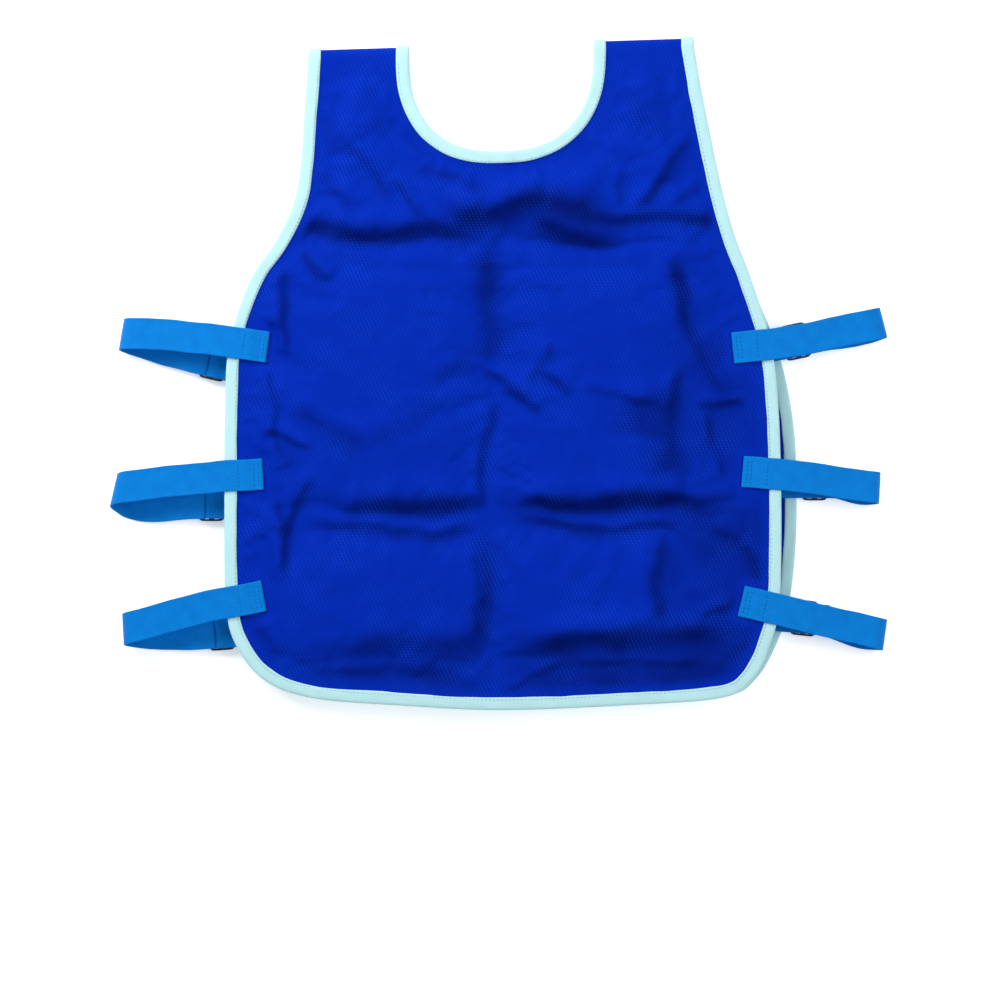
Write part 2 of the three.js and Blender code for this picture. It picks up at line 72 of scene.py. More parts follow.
def colour(name, description, hex_colour):
    return FloatVectorProperty(
        name=name, description=description, subtype="COLOR", size=4, default=linear(hex_colour)
    )


class VestSizes(bpy.types.PropertyGroup):
    """Sizes of the vest's pieces."""

    vest_length: length("Length", "Hem to shoulder fold, as it lies", 534)
    chest_width: length("Chest width", "Outside of the tape, across the middle", 444)
    neck_width: length("Neck width", "Between the tapes at the shoulder folds", 148)
    neck_depth: length("Neck depth", "Shoulder fold down to the neckline", 87)
    cloth: length("Cloth", "Thickness where the layers are stitched flat", 2.4)
    grid: length("Grid", "Spacing of the cloth's mesh points", 2.5)
    outer_swell: length("Outer swell", "Height of the filled pockets above the loose cloth", 7)
    loose_swell: length("Loose swell", "Height of the slack cloth between and beside the pockets", 2)
    highest: length("Highest", "Limit of the creases on top of the swelling", 16)
    yoke_swell: length("Yoke swell", "Height of the loose cloth above the pockets", 3)
    front_inner_swell: length("Front inner swell", "Filled pockets towards the body, in front", 1.5)
    back_inner_swell: length("Back inner swell", "Filled pockets towards the body, at the back", 3)
    tape_width: length("Tape width", "Seen width of the folded edge tape", 10)
    tape: length("Tape thickness", "One layer of the edge tape", 0.9)
    clearance: length("Clearance", "Between pieces that touch", 0.35)
    webbing_width: length("Webbing width", "Side straps and tabs", 25)
    webbing: length("Webbing thickness", "Side straps and tabs", 1.4)
    slider_thickness: length("Slider thickness", "Plastic slide buckle", 2.4)
    mesh_pitch: length("Mesh pitch", "Distance between the cloth's raised loops in a row", 3.1)
    mesh_row: length("Mesh row", "Distance from one row of loops to the next, which is staggered", 2.1)
    stitch: length("Stitch", "Length of one lockstitch with its gap", 3.2)
    thread: length("Thread", "Thickness of the sewing thread", 0.5)
    turn_steps: IntProperty(name="Turn steps", description="Stations round a strap's turn", default=22)


class VestColours(bpy.types.PropertyGroup):
    """Colours of the vest's materials."""

    cloth: colour("Cloth", "Royal blue mesh, its ground", "#01259e")
    cloth_loop: colour("Cloth loops", "The mesh's raised loops", "#0a3cbc")
    # Painted shade: a dark blue mixed into the cloth in its folds and in patches towards the right side and
    # the hem, where it stands in for shade
    cloth_painted_shade: colour("Doubled cloth", "Where folds hide the pale lining behind the mesh", "#010f58")
    tape: colour("Tape", "Pale aqua bias tape", "#b5e0e4")
    webbing: colour("Webbing", "Bright blue webbing", "#027cd0")
    webbing_dark: colour("Webbing shade", "Between the webbing's ribs", "#015fb0")
    slider: colour("Slider", "Black plastic", "#12172a")
    thread: colour("Thread", "Blue sewing thread", "#016cbc")
    tape_thread: colour("Tape thread", "Pale sewing thread on the tape", "#a9d6da")
    floor: colour("Floor", "Plain pale floor", "#f4f5f6")


# The outer edge from shoulder to hem: height as a share of the length, width as a share of half the chest.
EDGE = [
    # place, up, left, right
    ("shoulder", 0.975, 0.697, 0.694),
    ("upper armhole", 0.91, 0.709, 0.724),
    ("armhole", 0.825, 0.723, 0.766),
    ("lower armhole", 0.765, 0.748, 0.799),
    ("armhole turn", 0.705, 0.813, 0.842),
    ("underarm", 0.645, 0.905, 0.899),
    ("upper strap", 0.55, 0.98, 0.97),
    ("chest", 0.45, 0.996, 0.998),
    ("waist", 0.3, 0.998, 1.008),
    ("lower strap", 0.165, 0.994, 1.002),
    ("corner start", 0.1, 0.96, 0.97),
    ("corner", 0.045, 0.855, 0.903),
    ("corner end", 0.018, 0.68, 0.79),
    ("hem", 0.007, 0.37, 0.44),
]

# Filled pockets as they lie: left and right ends as shares of half the chest, low and high ends as shares of
# the length, and height as a share of the outer swell. The two upper rows lie as one.
PADS = [
    # name, left, right, low, high, height
    ("left, upper", -0.85, -0.045, 0.296, 0.702, 1.0),
    ("left, lower", -0.86, -0.085, 0.074, 0.266, 0.85),
    ("right, upper", -0.025, 0.66, 0.298, 0.7, 1.0),
    ("right, lower", -0.05, 0.64, 0.08, 0.266, 0.9),
]

# Creases that stand on the swelling, drawn so that the steep side is to the right of travel. Ends are
# shares of half the chest and of the length, bend is the arc's height as a share of the crease's length,
# positive to the left. Width is that of the gentle side and height that of the crest, in millimetres,
# and steep is the steep side's width as a share of the gentle one. A negative height is a hollow in shade.
# Each crease also paints shade into the cloth's colour: along its steep side, or across the whole of a
# hollow, where the rows named in shade are mostly painted shade over a shallow dip.
CREASES = [
    # name, x1, up1, x2, up2, bend, width, height, steep
    ("yoke roll, left", -0.84, 0.733, -0.04, 0.728, -0.012, 24, 5.0, 0.6),
    ("yoke roll, middle", -0.24, 0.752, 0.44, 0.768, 0.02, 28, 10.0, 0.72),
    ("yoke roll, right of middle", 0.06, 0.737, 0.46, 0.718, -0.03, 20, 5.4, 0.7),
    ("yoke roll, right", 0.26, 0.742, 0.88, 0.734, 0.015, 18, 4.6, 0.5),
    ("yoke drag, neck", -0.32, 0.82, 0.0, 0.792, -0.03, 14, 2.4, 0.6),
    ("yoke drag, outer left", -0.6, 0.885, -0.4, 0.76, 0.05, 14, 2.6, 0.6),
    ("yoke drag, inner left", -0.4, 0.8, -0.27, 0.73, 0.05, 11, 2.6, 0.6),
    ("yoke drag, neck left", -0.38, 0.89, -0.3, 0.84, 0.08, 10, 1.6, 0.6),
    ("yoke drag, left armhole", -0.68, 0.83, -0.52, 0.745, 0.03, 12, 1.6, 0.7),
    ("yoke drag, right", 0.46, 0.745, 0.68, 0.865, -0.04, 14, 3.6, 0.55),
    ("yoke drag, inner right", 0.42, 0.75, 0.45, 0.81, 0.03, 11, 2.0, 0.6),
    ("yoke drag, armhole right", 0.6, 0.75, 0.8, 0.775, 0.1, 11, 1.6, 0.6),
    ("left shoulder slack", -0.66, 0.95, -0.6, 0.84, 0.04, 16, 1.4, 0.7),
    ("right shoulder slack", 0.46, 0.93, 0.56, 0.86, 0.05, 16, 1.3, 0.8),
    ("pocket corner, left", -0.73, 0.692, -0.6, 0.645, -0.1, 12, 3.0, 0.6),
    ("left flap, upper", -0.79, 0.52, -0.83, 0.68, -0.05, 11, 3.4, 0.6),
    ("left flap, middle", -0.84, 0.4, -0.87, 0.52, -0.12, 10, 3.2, 0.6),
    ("left flap, curl", -0.86, 0.42, -0.68, 0.385, 0.12, 11, 3.0, 0.5),
    ("left flap, hook", -0.77, 0.36, -0.83, 0.41, 0.1, 10, 2.2, 0.6),
    ("left diagonal down", -0.76, 0.47, -0.46, 0.385, 0.06, 18, 2.6, 0.8),
    ("left diagonal up", -0.5, 0.4, -0.26, 0.5, -0.03, 20, 1.3, 0.9),
    ("left diagonal, inner", -0.28, 0.5, -0.12, 0.55, -0.05, 14, 1.2, 0.8),
    ("left lower flap", -0.8, 0.19, -0.84, 0.33, -0.06, 12, 3.4, 0.6),
    ("left lower branch", -0.8, 0.25, -0.7, 0.35, 0.04, 12, 3.4, 0.6),
    ("left hem flap", -0.9, 0.13, -0.8, 0.075, 0.05, 12, 2.0, 0.7),
    ("left row, upper lip", -0.62, 0.305, -0.02, 0.325, 0.02, 20, 4.6, 0.7),
    ("left row, lower lip", -0.74, 0.291, -0.06, 0.284, -0.05, 10, 3.0, 1.0),
    ("centre pinch", -0.08, 0.53, 0.1, 0.474, -0.05, 11, 3.4, 0.6),
    ("centre pinch, lower", -0.03, 0.488, 0.14, 0.458, 0.05, 10, 2.4, 0.6),
    ("centre zigzag, down", 0.1, 0.517, 0.26, 0.472, 0.08, 10, 3.0, 0.6),
    ("centre zigzag, up", 0.05, 0.495, 0.17, 0.56, -0.05, 11, 2.2, 0.6),
    ("right seam pinch", 0.3, 0.492, 0.56, 0.47, -0.05, 12, 1.8, 0.6),
    ("right streak", 0.77, 0.49, 0.56, 0.68, 0.06, 16, 4.4, 0.7),
    ("right flap, upper", 0.68, 0.6, 0.58, 0.68, 0.06, 14, 3.0, 0.7),
    ("right flap, outer", 0.73, 0.58, 0.84, 0.46, -0.06, 12, 3.6, 0.6),
    ("right flap, inner", 0.59, 0.35, 0.655, 0.53, 0.05, 14, 3.2, 0.7),
    ("right pack side", 0.52, 0.34, 0.54, 0.5, 0.0, 26, 3.0, 0.8),
    ("right hollow", 0.5, 0.4, 0.53, 0.47, 0.0, 30, -3.0, 0.9),
    ("right flap, level", 0.7, 0.455, 0.9, 0.458, 0.02, 11, 3.0, 0.6),
    ("right flap, down", 0.77, 0.34, 0.75, 0.45, 0.06, 11, 2.8, 0.6),
    ("right row, upper lip", -0.02, 0.312, 0.88, 0.322, 0.025, 22, 6.2, 0.7),
    ("right row, lower lip", 0.02, 0.292, 0.7, 0.292, -0.05, 10, 3.2, 1.0),
    ("right lower pack side", 0.53, 0.12, 0.53, 0.265, 0.0, 20, 3.6, 0.6),
    ("right lower diagonal", 0.78, 0.295, 0.96, 0.19, 0.03, 13, 3.6, 0.55),
    ("right lower flap", 0.68, 0.14, 0.9, 0.19, -0.04, 13, 3.6, 0.55),
    ("right bottom roll", 0.02, 0.11, 0.86, 0.123, 0.01, 22, 7.0, 0.72),
    ("right bottom, second", 0.16, 0.072, 0.8, 0.074, 0.01, 9, 3.0, 0.6),
    ("right bottom, third", 0.3, 0.046, 0.78, 0.046, 0.01, 9, 2.4, 0.55),
    ("right bottom diagonal", 0.0, 0.03, 0.22, 0.07, 0.03, 11, 3.2, 0.55),
    ("right corner fold", 0.76, 0.06, 0.88, 0.11, 0.05, 11, 2.8, 0.6),
    ("left bottom roll", -0.62, 0.1, 0.0, 0.1, 0.04, 24, 3.0, 0.8),
    ("left bottom, second", -0.68, 0.06, -0.03, 0.05, 0.02, 13, 2.4, 0.6),
    ("left bottom scoop", -0.44, 0.088, -0.22, 0.075, -0.1, 12, 2.0, 0.6),
    ("centre, upper", -0.075, 0.52, -0.07, 0.71, 0.0, 26, 4.2, 0.66),
    ("centre, middle", -0.07, 0.3, -0.055, 0.47, 0.0, 15, 2.8, 0.45),
    ("centre, lower", -0.115, 0.08, -0.105, 0.27, 0.0, 22, 3.8, 0.6),
    ("right side, in shade", 0.8, 0.3, 0.8, 0.6, 0.0, 60, -1.8, 1.0),
    ("lower right, in shade", 0.82, 0.04, 0.82, 0.34, 0.0, 64, -3.0, 1.0),
    ("hem, in shade", -0.05, 0.045, 0.95, 0.055, 0.0, 40, -3.4, 1.0),
    ("left hem, in shade", -0.8, 0.045, 0.0, 0.04, 0.0, 30, -1.6, 1.0),
]

# Straps: share of the length where the sewn end sits, shares of the reach for the turn and the slider, the
# tab's share of the slider's length, and the slopes of the seat, the run, the fold and the slider in degrees.
STRAPS = [
    # name, side, up, out, turn, slider, tab, seat slope, run slope, fold slope, slider slope
    ("left_top", -1, 0.551, 0.977, 0.089, -0.19, 0.4, 8, 1, 9.5, 13),
    ("left_middle", -1, 0.35, 0.995, -0.105, -0.27, 0.74, -3, -7, 13, 0),
    ("left_bottom", -1, 0.161, 0.927, -0.24, -0.31, 0.3, -10, -14, -3, -4),
    ("right_top", 1, 0.548, 1.026, 0.2, 0.04, 0.3, 6, 12, 14, 12),
    ("right_middle", 1, 0.352, 0.8875, -0.115, -0.075, 0.2, -5, -7.5, -3, 0),
    ("right_bottom", 1, 0.15, 0.965, -0.2275, -0.09, 0.2, -13.5, -13, -8, -6),
]

# Shares: the power of the neckline's curve, the tapes' lap joints along the front, the pockets' ends up the
# vest, and the height at the underarm below which the back panel has slid aside
NECK_ROUNDNESS = 2.45
EDGE_JOINT = 0.395
NECK_JOINT = 0.47
POCKET_BOTTOM = 0.085
POCKET_TOP = 0.69
UNDERARM = 0.68

# How the panels lie, in millimetres, and the number of steps over a shoulder fold
SHOULDER_RISE = 7
BACK_SHIFT = 14
POCKET_MARGIN = 22
SWELL_SLOPE = 30
YOKE_MARGIN = 16
RIM_PLAY = 0.6
STRAP_PRESS = 10
FOLD_BLEND = 15
FOLD_STEPS = 8

# Shares of the vest's length: where the shoulders start to rise to one side, the blend there and that of the
# back panel's slide, and the share of the slide that is left at the hem
RISE_START = 0.6
RISE_BLEND = 0.3
SLIDE_BLEND = 0.3
SLIDE_AT_HEM = 0.3

# The outlines that distances are taken to: spacing of their points and how far they go on past the shoulder
# folds, in millimetres, and the number of places worked out at once
EDGE_STEP = 5
NECK_STEP = 4
OUTLINE_BEYOND = 60
BATCH = 4000

# Where the cloth is free to swell, in millimetres: from how far off the tape, the blend there and the blend
# below the shoulder folds; and the share of the straps' press over which it fades
TAPE_PLAY = 1
TAPE_BLEND = 9
FREE_BLEND = 25
PRESS_BLEND = 0.8

# Reach of the panels' grid to both sides, as shares of half the chest, the part of the cloth's thickness that
# is pressed out of the shoulder folds, the back's share of the creases, and the deepest dip in millimetres
PANEL_REACH = (-1.02, 1.03)
FOLD_PRESS = 0.15
BACK_CREASES = 0.6
DEEPEST_DIP = 0.5

# Creases: their spread and the place of their painted shade as shares of the width, the fade at each end as a
# share of the run, and the height in millimetres at which the painted shade is full
CREASE_SPREAD = 0.6
CREASE_FADE = 0.22
PAINTED_SHADE_PLACE = 0.85
PAINTED_SHADE_HEIGHT = 5.5

# Layers of noise, each with height and cell in millimetres and seed: what bends the pattern of pads and
# creases sideways and lengthways, and how uneven the creases and the inner faces are
WARP_ACROSS = [(6, 45, 1), (2, 16, 8)]
WARP_UP = [(5, 45, 2), (2, 16, 9)]
UNEVEN_CREASES = [(0.3, 24, 12)]
UNEVEN_BACK = [(0.3, 24, 6)]
UNEVEN_FRONT = [(0.3, 24, 7)]

# Fine slack, as noise that is stretched: height, cell and seed, then the shares of x and s in both directions
SLACK = [
    # height, cell, seed, x in u, s in u, x in v, s in v
    (0.9, 38, 3, 1, 0, 0, 1),
    (0.5, 17, 4, 1, 1, -0.4, 1),
    (0.2, 8, 5, 1, -1, 0, 0.5),
]

# The cloth's settling: its reach and the reach of the seams between pockets, as shares of half the chest,
# spacing and limit in millimetres, frames, gravity's weight as an outward press, rounds of averaging, and
# the share of the bulk that is kept; and the share of a pad's height under which the cloth is a seam
SETTLE_REACH = (-1.02, 1.04)
SEAM_REACH = (-0.8, 0.62)
SETTLE_GRID = 6
SETTLE_LIMIT = 2.6
SETTLE_FRAMES = 20
SETTLE_PRESS = -0.05
SETTLE_BLUR = 24
SETTLE_BULK = 0.15
SEAM_SHARE = 0.05
SETTLE_CLOTH = {
    "quality": 6,
    "mass": 0.2,
    "air_damping": 2.0,
    "tension_stiffness": 12.0,
    "compression_stiffness": 12.0,
    "shear_stiffness": 4.0,
    "bending_stiffness": 0.05,
    "shrink_min": -0.022,
}

# The tapes, in millimetres: spacing of stations, length, rise and blend of a lap joint, the depth at which
# they start to move sideways and its blend, the blend of the puckers below the shoulder folds, and the noise
# that moves them sideways and that puckers them
TAPE_STEP = 3.0
LAP_LENGTH = 11
LAP_RISE = 0.7
LAP_BLEND = 2
WAVE_START = 1
WAVE_BLEND = 4
PUCKER_BLEND = 12
TAPE_WAVES = [
    # height, cell, place in the noise, seed
    (0.6, 55, 50, 2),
    (0.35, 12, 80, 3),
]
TAPE_PUCKERS = [
    # height, cell, lean across the tape, seed
    (0.22, 11, 4, 0),
    (0.3, 38, 0, 1),
]
BACK_PUCKERS = 300

# How the webbing sways sideways: height and cell in millimetres, and seed
WEBBING_SWAY = [(0.4, 17, 0), (0.1, 7, 9)]

# Stitches: rings along one and its sides, its own share of the spacing, and how far its ends sink in, as a
# share of the thread. In millimetres: the thread's height above the webbing and the tape, the rows' places
# past the tape, from a seat's end and from the tape's inner edge, and their start below the shoulder folds
STITCH_RINGS = 5
STITCH_SIDES = 6
STITCH_SHARE = 0.78
STITCH_SINK = 0.35
STITCH_ON_WEBBING = 0.05
STITCH_ON_TAPE = 0.12
ROW_PAST_TAPE = 1.5
ROWS_FROM_END = (7, 3.5)
TAPE_ROW_INSET = 1.4
TAPE_ROW_START = 4

# Stations of a strap's sewn end and of its runs, the runs' first and last shares of their curves, and the
# share of the way out by which a strap has climbed to its top
SEAT_STATIONS = 16
RUN_STATIONS = 18
RUN_OUT = (0.05, 0.94)
RUN_BACK = (0.06, 1)
CLIMB_SHARE = 0.9

# The straps, tabs and sliders, in millimetres
STRAP_REACH = 80
SEAT_LENGTH = 31
SEAT_STEP = 7
LOOP_TOP = 20
LOOP_FLOOR = 0.1
TAIL_LENGTH = 20
FOLD_CORNER = 1.9
LOOSE_FOLD = 1.3
SLIDER_BAR = 4
SLIDER_SLOT = 4.6
SLIDER_SIDE = 1.7
SLOT_PLAY = 0.2
SLIDER_LEAD = 2
BAR_INSET = 0.4

# Sliders: the powers of the curves of their outline and of their section, points of the outline before it is
# spaced evenly and of the section, stations of the middle bar, and how much thicker that bar is
SLIDER_CORNERS = 9
SECTION_CORNERS = 5
OUTLINE_POINTS = 88
SECTION_POINTS = 16
BAR_STATIONS = 15
BAR_CROWN = 1.04

# Sideways shift of the mesh's loops per length, so that their lines lean
MESH_LEAN = -0.3

# The picture's own frame: pixels of a 1000 by 1000 image, one of which is 0.8 mm at the front tape's height
PIXEL = 0.8
MIDDLE_PIXEL = 500
CUT_MIDDLE_PIXEL = 501.5
HEM_PIXEL = 710
CAMERA_HEIGHT = 2000
SENSOR = 36

# Light: strengths of the world and of the light table, and the softboxes
WORLD_LIGHT = 0.46
TABLE_GLOW = 0.42
LIGHTS = [
    # name, place in metres, size, watts
    ("key_softbox", (-0.95, 0.97, 0.9), 0.9, 27.0),
    ("fill_softbox", (1.2, 0.1, 1.6), 1.2, 18.0),
]


def smooth(t):
    """Rises from 0 to 1 with level ends: t squared times three less two t."""
    t = np.clip(t, 0, 1)
    return t * t * (3 - 2 * t)


def cut():
    """Sizes in millimetres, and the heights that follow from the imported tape's box."""
    size = bpy.context.scene.vest_sizes
    c = SimpleNamespace(**{name: getattr(size, name) / MM for name in VestSizes.__annotations__})
    c.turn_steps = size.turn_steps
    c.half_cloth = c.cloth / 2
    c.face = c.half_cloth + c.clearance + c.tape
    low, high = [np.array(corner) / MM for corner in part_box("edge_binding")]
    neck_low, neck_high = [np.array(corner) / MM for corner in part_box("neck_binding")]
    c.x0 = (neck_low[0] + neck_high[0]) / 2
    c.y0 = low[1]
    c.back_middle = low[2] + c.face
    c.front_middle = high[2] - c.face
    c.fold_height = (c.front_middle + c.back_middle) / 2
    c.fold_radius = (c.front_middle - c.back_middle) / 2
    c.bend_start = c.vest_length - c.fold_radius - c.half_cloth
    c.bend_length = c.fold_radius * math.pi / 2
    c.crest = c.bend_start + c.bend_length
    c.half_chest = c.chest_width / 2
    c.pocket_half = c.half_chest - SEAT_LENGTH - POCKET_MARGIN
    c.rest_lift = c.back_middle - c.half_cloth
    c.slider_length = 3 * SLIDER_BAR + 2 * SLIDER_SLOT
    c.slider_floor = LOOP_FLOOR + 2 * (c.webbing + c.clearance)
    return c


def unit(ways):
    """Directions of length one."""
    return ways / np.linalg.norm(ways, axis=-1, keepdims=True)


def run_along(points):
    """Length of a polyline up to each of its points."""
    return np.concatenate([[0], np.cumsum(np.linalg.norm(np.diff(points, axis=0), axis=1))])


def slide(c, s):
    """How far the back panel has slid sideways at a height: a smooth rise under the arms, less at the hem."""
    up = s / c.vest_length
    at_hem = SLIDE_AT_HEM + (1 - SLIDE_AT_HEM) * smooth(up / SLIDE_BLEND)
    return BACK_SHIFT * smooth((UNDERARM - up) / SLIDE_BLEND) * at_hem


def lay(c, side, x, s, h):
    """Lays the flat cloth down: x across, s up from the hem, h outwards. Past the bend's start the cloth
    goes round a quarter circle about the fold's axis, so that height and reach are cosine and sine."""
    angle = np.clip((s - c.bend_start) / c.bend_length, 0, 1) * math.pi / 2
    radius = c.fold_radius + h
    rise = SHOULDER_RISE * (x / c.half_chest) * smooth((s / c.vest_length - RISE_START) / RISE_BLEND)
    y = np.minimum(s, c.bend_start) + radius * np.sin(angle) + rise
    up = radius * np.cos(angle)
    shift = slide(c, s) if side == "back" else 0
    z = c.fold_height + (up if side == "front" else -up)
    return np.stack([x + shift + c.x0, y + c.y0, z + 0 * x], -1) * MM


def spline(points, per_span=60):
    """A uniform Catmull-Rom curve through the points, each span a cubic with half the chord as its slopes."""
    padded = np.concatenate([points[:1], points, points[-1:]])
    p0, p1, p2, p3 = [padded[i : len(points) - 1 + i, None] for i in range(4)]
    t = np.linspace(0, 1, per_span, endpoint=False)[None, :, None]
    v0, v1 = (p2 - p0) / 2, (p3 - p1) / 2
    cubic = (2 * p1 - 2 * p2 + v0 + v1) * t**3 + (-3 * p1 + 3 * p2 - 2 * v0 - v1) * t**2 + v0 * t + p1
    return np.concatenate([cubic.reshape(-1, points.shape[1]), points[-1:]])


def evenly(points, step):
    """Points at even arc lengths along a dense polyline."""
    run = run_along(points)
    marks = np.linspace(0, run[-1], max(2, round(run[-1] / step)) + 1)
    return np.stack([np.interp(marks, run, column) for column in points.T], -1)


def edge_line(c):
    """The outer edge of the cloth from the left shoulder round the hem to the right shoulder."""
    left = np.array([[-row[2] * c.half_chest, row[1] * c.vest_length] for row in EDGE])
    right = np.array([[row[3] * c.half_chest, row[1] * c.vest_length] for row in EDGE])
    left[0, 1] = right[0, 1] = c.bend_start
    return spline(np.concatenate([left, [[0, 0]], right[::-1]]))


def superellipse(angle, power):
    """Cosine and sine of an angle, each to two over the power with its sign kept."""
    return [np.sign(wave) * np.abs(wave) ** (2 / power) for wave in (np.cos(angle), np.sin(angle))]


def neck_line(c):
    """The neckline from right to left: a quarter and a quarter of a superellipse under the shoulders."""
    across, down = superellipse(np.linspace(0, math.pi, 400), NECK_ROUNDNESS)
    depth = (c.bend_start - c.vest_length + c.neck_depth) * down
    return np.stack([c.neck_width / 2 * across, c.bend_start - depth], -1)


def stations(c, line, step):
    """Places along an edge with the direction into the cloth, to the left of travel, carried on straight
    over the shoulder folds, where that direction turns level."""
    places = evenly(line, step)
    along = unit(np.gradient(places, axis=0))
    inward = np.stack([-along[:, 1], along[:, 0]], -1)
    level = np.stack([np.sign(inward[:, 0]), np.zeros(len(inward))], -1)
    near = smooth(1 - (c.bend_start - places[:, 1:]) / FOLD_BLEND)
    inward = unit(inward * (1 - near) + level * near)
    bend = np.linspace(0, c.bend_length, FOLD_STEPS + 1)[1:] + c.bend_start
    start = np.stack([np.full(FOLD_STEPS, places[0, 0]), bend[::-1]], -1)
    end = np.stack([np.full(FOLD_STEPS, places[-1, 0]), bend], -1)
    places = np.concatenate([start, places, end])
    ends = [np.repeat(inward[k], FOLD_STEPS, 0) for k in (slice(0, 1), slice(-1, None))]
    return places, np.concatenate([ends[0], inward, ends[1]])


def edge_distance(c, x, s):
    """Distance from each point to the nearest edge, positive inside the cloth: the least distance to any
    segment, with its sign from the number of segments that a ray to the right crosses."""
    ends = []
    for line in (evenly(edge_line(c), EDGE_STEP), evenly(neck_line(c), NECK_STEP)):
        beyond = [[line[k, 0], c.crest + OUTLINE_BEYOND] for k in (0, -1)]
        ends.append(np.concatenate([beyond[:1], line, beyond[1:]]))
    a = np.concatenate([line[:-1] for line in ends])
    b = np.concatenate([line[1:] for line in ends])
    points = np.stack([x.ravel(), s.ravel()], -1)
    out = np.empty(len(points))
    for first in range(0, len(points), BATCH):
        p = points[first : first + BATCH, None]
        t = np.clip(((p - a) * (b - a)).sum(-1) / ((b - a) ** 2).sum(-1), 0, 1)
        least = np.linalg.norm(p - a - t[..., None] * (b - a), axis=-1).min(1)
        spans = (a[:, 1] > p[..., 1]) != (b[:, 1] > p[..., 1])
        rise = np.where(b[:, 1] == a[:, 1], 1, b[:, 1] - a[:, 1])
        cross = a[:, 0] + (p[..., 1] - a[:, 1]) * (b[:, 0] - a[:, 0]) / rise
        inside = (spans & (cross > p[..., 0])).sum(1) % 2 == 1
        out[first : first + BATCH] = np.where(inside, least, -least)
    return out.reshape(x.shape)


def noise(x, s, cell, seed):
    """Soft value noise from -1 to 1: random heights on a lattice of cells, blended with level ends."""
    table = np.random.default_rng(SEED + seed).uniform(-1, 1, (97, 97))
    u, v = x / cell + 40.3, s / cell + 20.7
    i, j = np.floor(u).astype(int), np.floor(v).astype(int)
    fu, fv = smooth(u - i), smooth(v - j)
    corner = [table[(i + a) % 97, (j + b) % 97] for a, b in ((0, 0), (1, 0), (0, 1), (1, 1))]
    low = corner[0] + (corner[1] - corner[0]) * fu
    high = corner[2] + (corner[3] - corner[2]) * fu
    return low + (high - low) * fv


def layered(x, s, layers):
    """Sum of layers of noise, each with its height, cell and seed."""
    return sum(height * noise(x, s, cell, seed) for height, cell, seed in layers)


def pads(c, x, s):
    """Filled pockets as pillows: one less the fifth power of the distance from the middle, as a share of half
    the pad, both ways, and the product to the power 1.2 so that it meets the flat cloth level."""
    total = np.zeros_like(x)
    for _name, left, right, low, high, height in PADS:
        u = (2 * x / c.half_chest - left - right) / (right - left)
        v = (2 * s / c.vest_length - low - high) / (high - low)
        round_top = np.clip(1 - np.abs(u) ** 5, 0, 1) * np.clip(1 - np.abs(v) ** 5, 0, 1)
        total = np.maximum(total, height * round_top**1.2)
    return total


def crease_heights(c, x, s, mirror=1):
    """Sum of all creases, each a bell curve of the distance across its arc, narrower on the steep side and
    faded out at both ends, and the share of painted shade: a bell curve over each steep side, and over the
    whole of each hollow, that darkens the cloth's colour where shade falls."""
    total, painted_shade = np.zeros_like(x), np.zeros_like(x)
    for _name, x1, up1, x2, up2, bend, width, height, steep in CREASES:
        a = np.array([mirror * x1 * c.half_chest, up1 * c.vest_length])
        d = np.array([mirror * x2 * c.half_chest, up2 * c.vest_length]) - a
        run = math.hypot(*d)
        along = ((x - a[0]) * d[0] + (s - a[1]) * d[1]) / run**2
        left = ((s - a[1]) * d[0] - (x - a[0]) * d[1]) / run * mirror
        left = left - 4 * bend * run * along * (1 - along)
        steep_spread = CREASE_SPREAD * width * steep
        spread = np.where(left > 0, CREASE_SPREAD * width, steep_spread)
        ends = smooth(along / CREASE_FADE) * smooth((1 - along) / CREASE_FADE)
        total += height * ends * np.exp(-((left / spread) ** 2))
        # Painted shade: darkens the cloth's colour on a crease's steep side and across a hollow, in place of
        # shade
        place = PAINTED_SHADE_PLACE * steep_spread if height > 0 else 0
        bell = np.exp(-(((left + place) / steep_spread) ** 2))
        painted_shade = 1 - (1 - painted_shade) * (1 - min(abs(height) / PAINTED_SHADE_HEIGHT, 1) * ends * bell)
    return total, painted_shade


def pocket_share(c, x, s):
    """Flat top with a smooth slope all round the pockets."""
    low = smooth((s - POCKET_BOTTOM * c.vest_length) / SWELL_SLOPE)
    high = smooth((POCKET_TOP * c.vest_length - s) / SWELL_SLOPE)
    return smooth((c.pocket_half - np.abs(x)) / SWELL_SLOPE) * low * high


def yoke_share(c, s, inside):
    """Slight swelling of the loose cloth above the pockets, clear of the tape and the shoulder folds."""
    off_tape = smooth((inside - c.tape_width - YOKE_MARGIN) / (1.5 * c.tape_width))
    above = smooth((s - POCKET_TOP * c.vest_length + SWELL_SLOPE) / SWELL_SLOPE)
    return off_tape * above * smooth((c.bend_start - s) / SWELL_SLOPE)


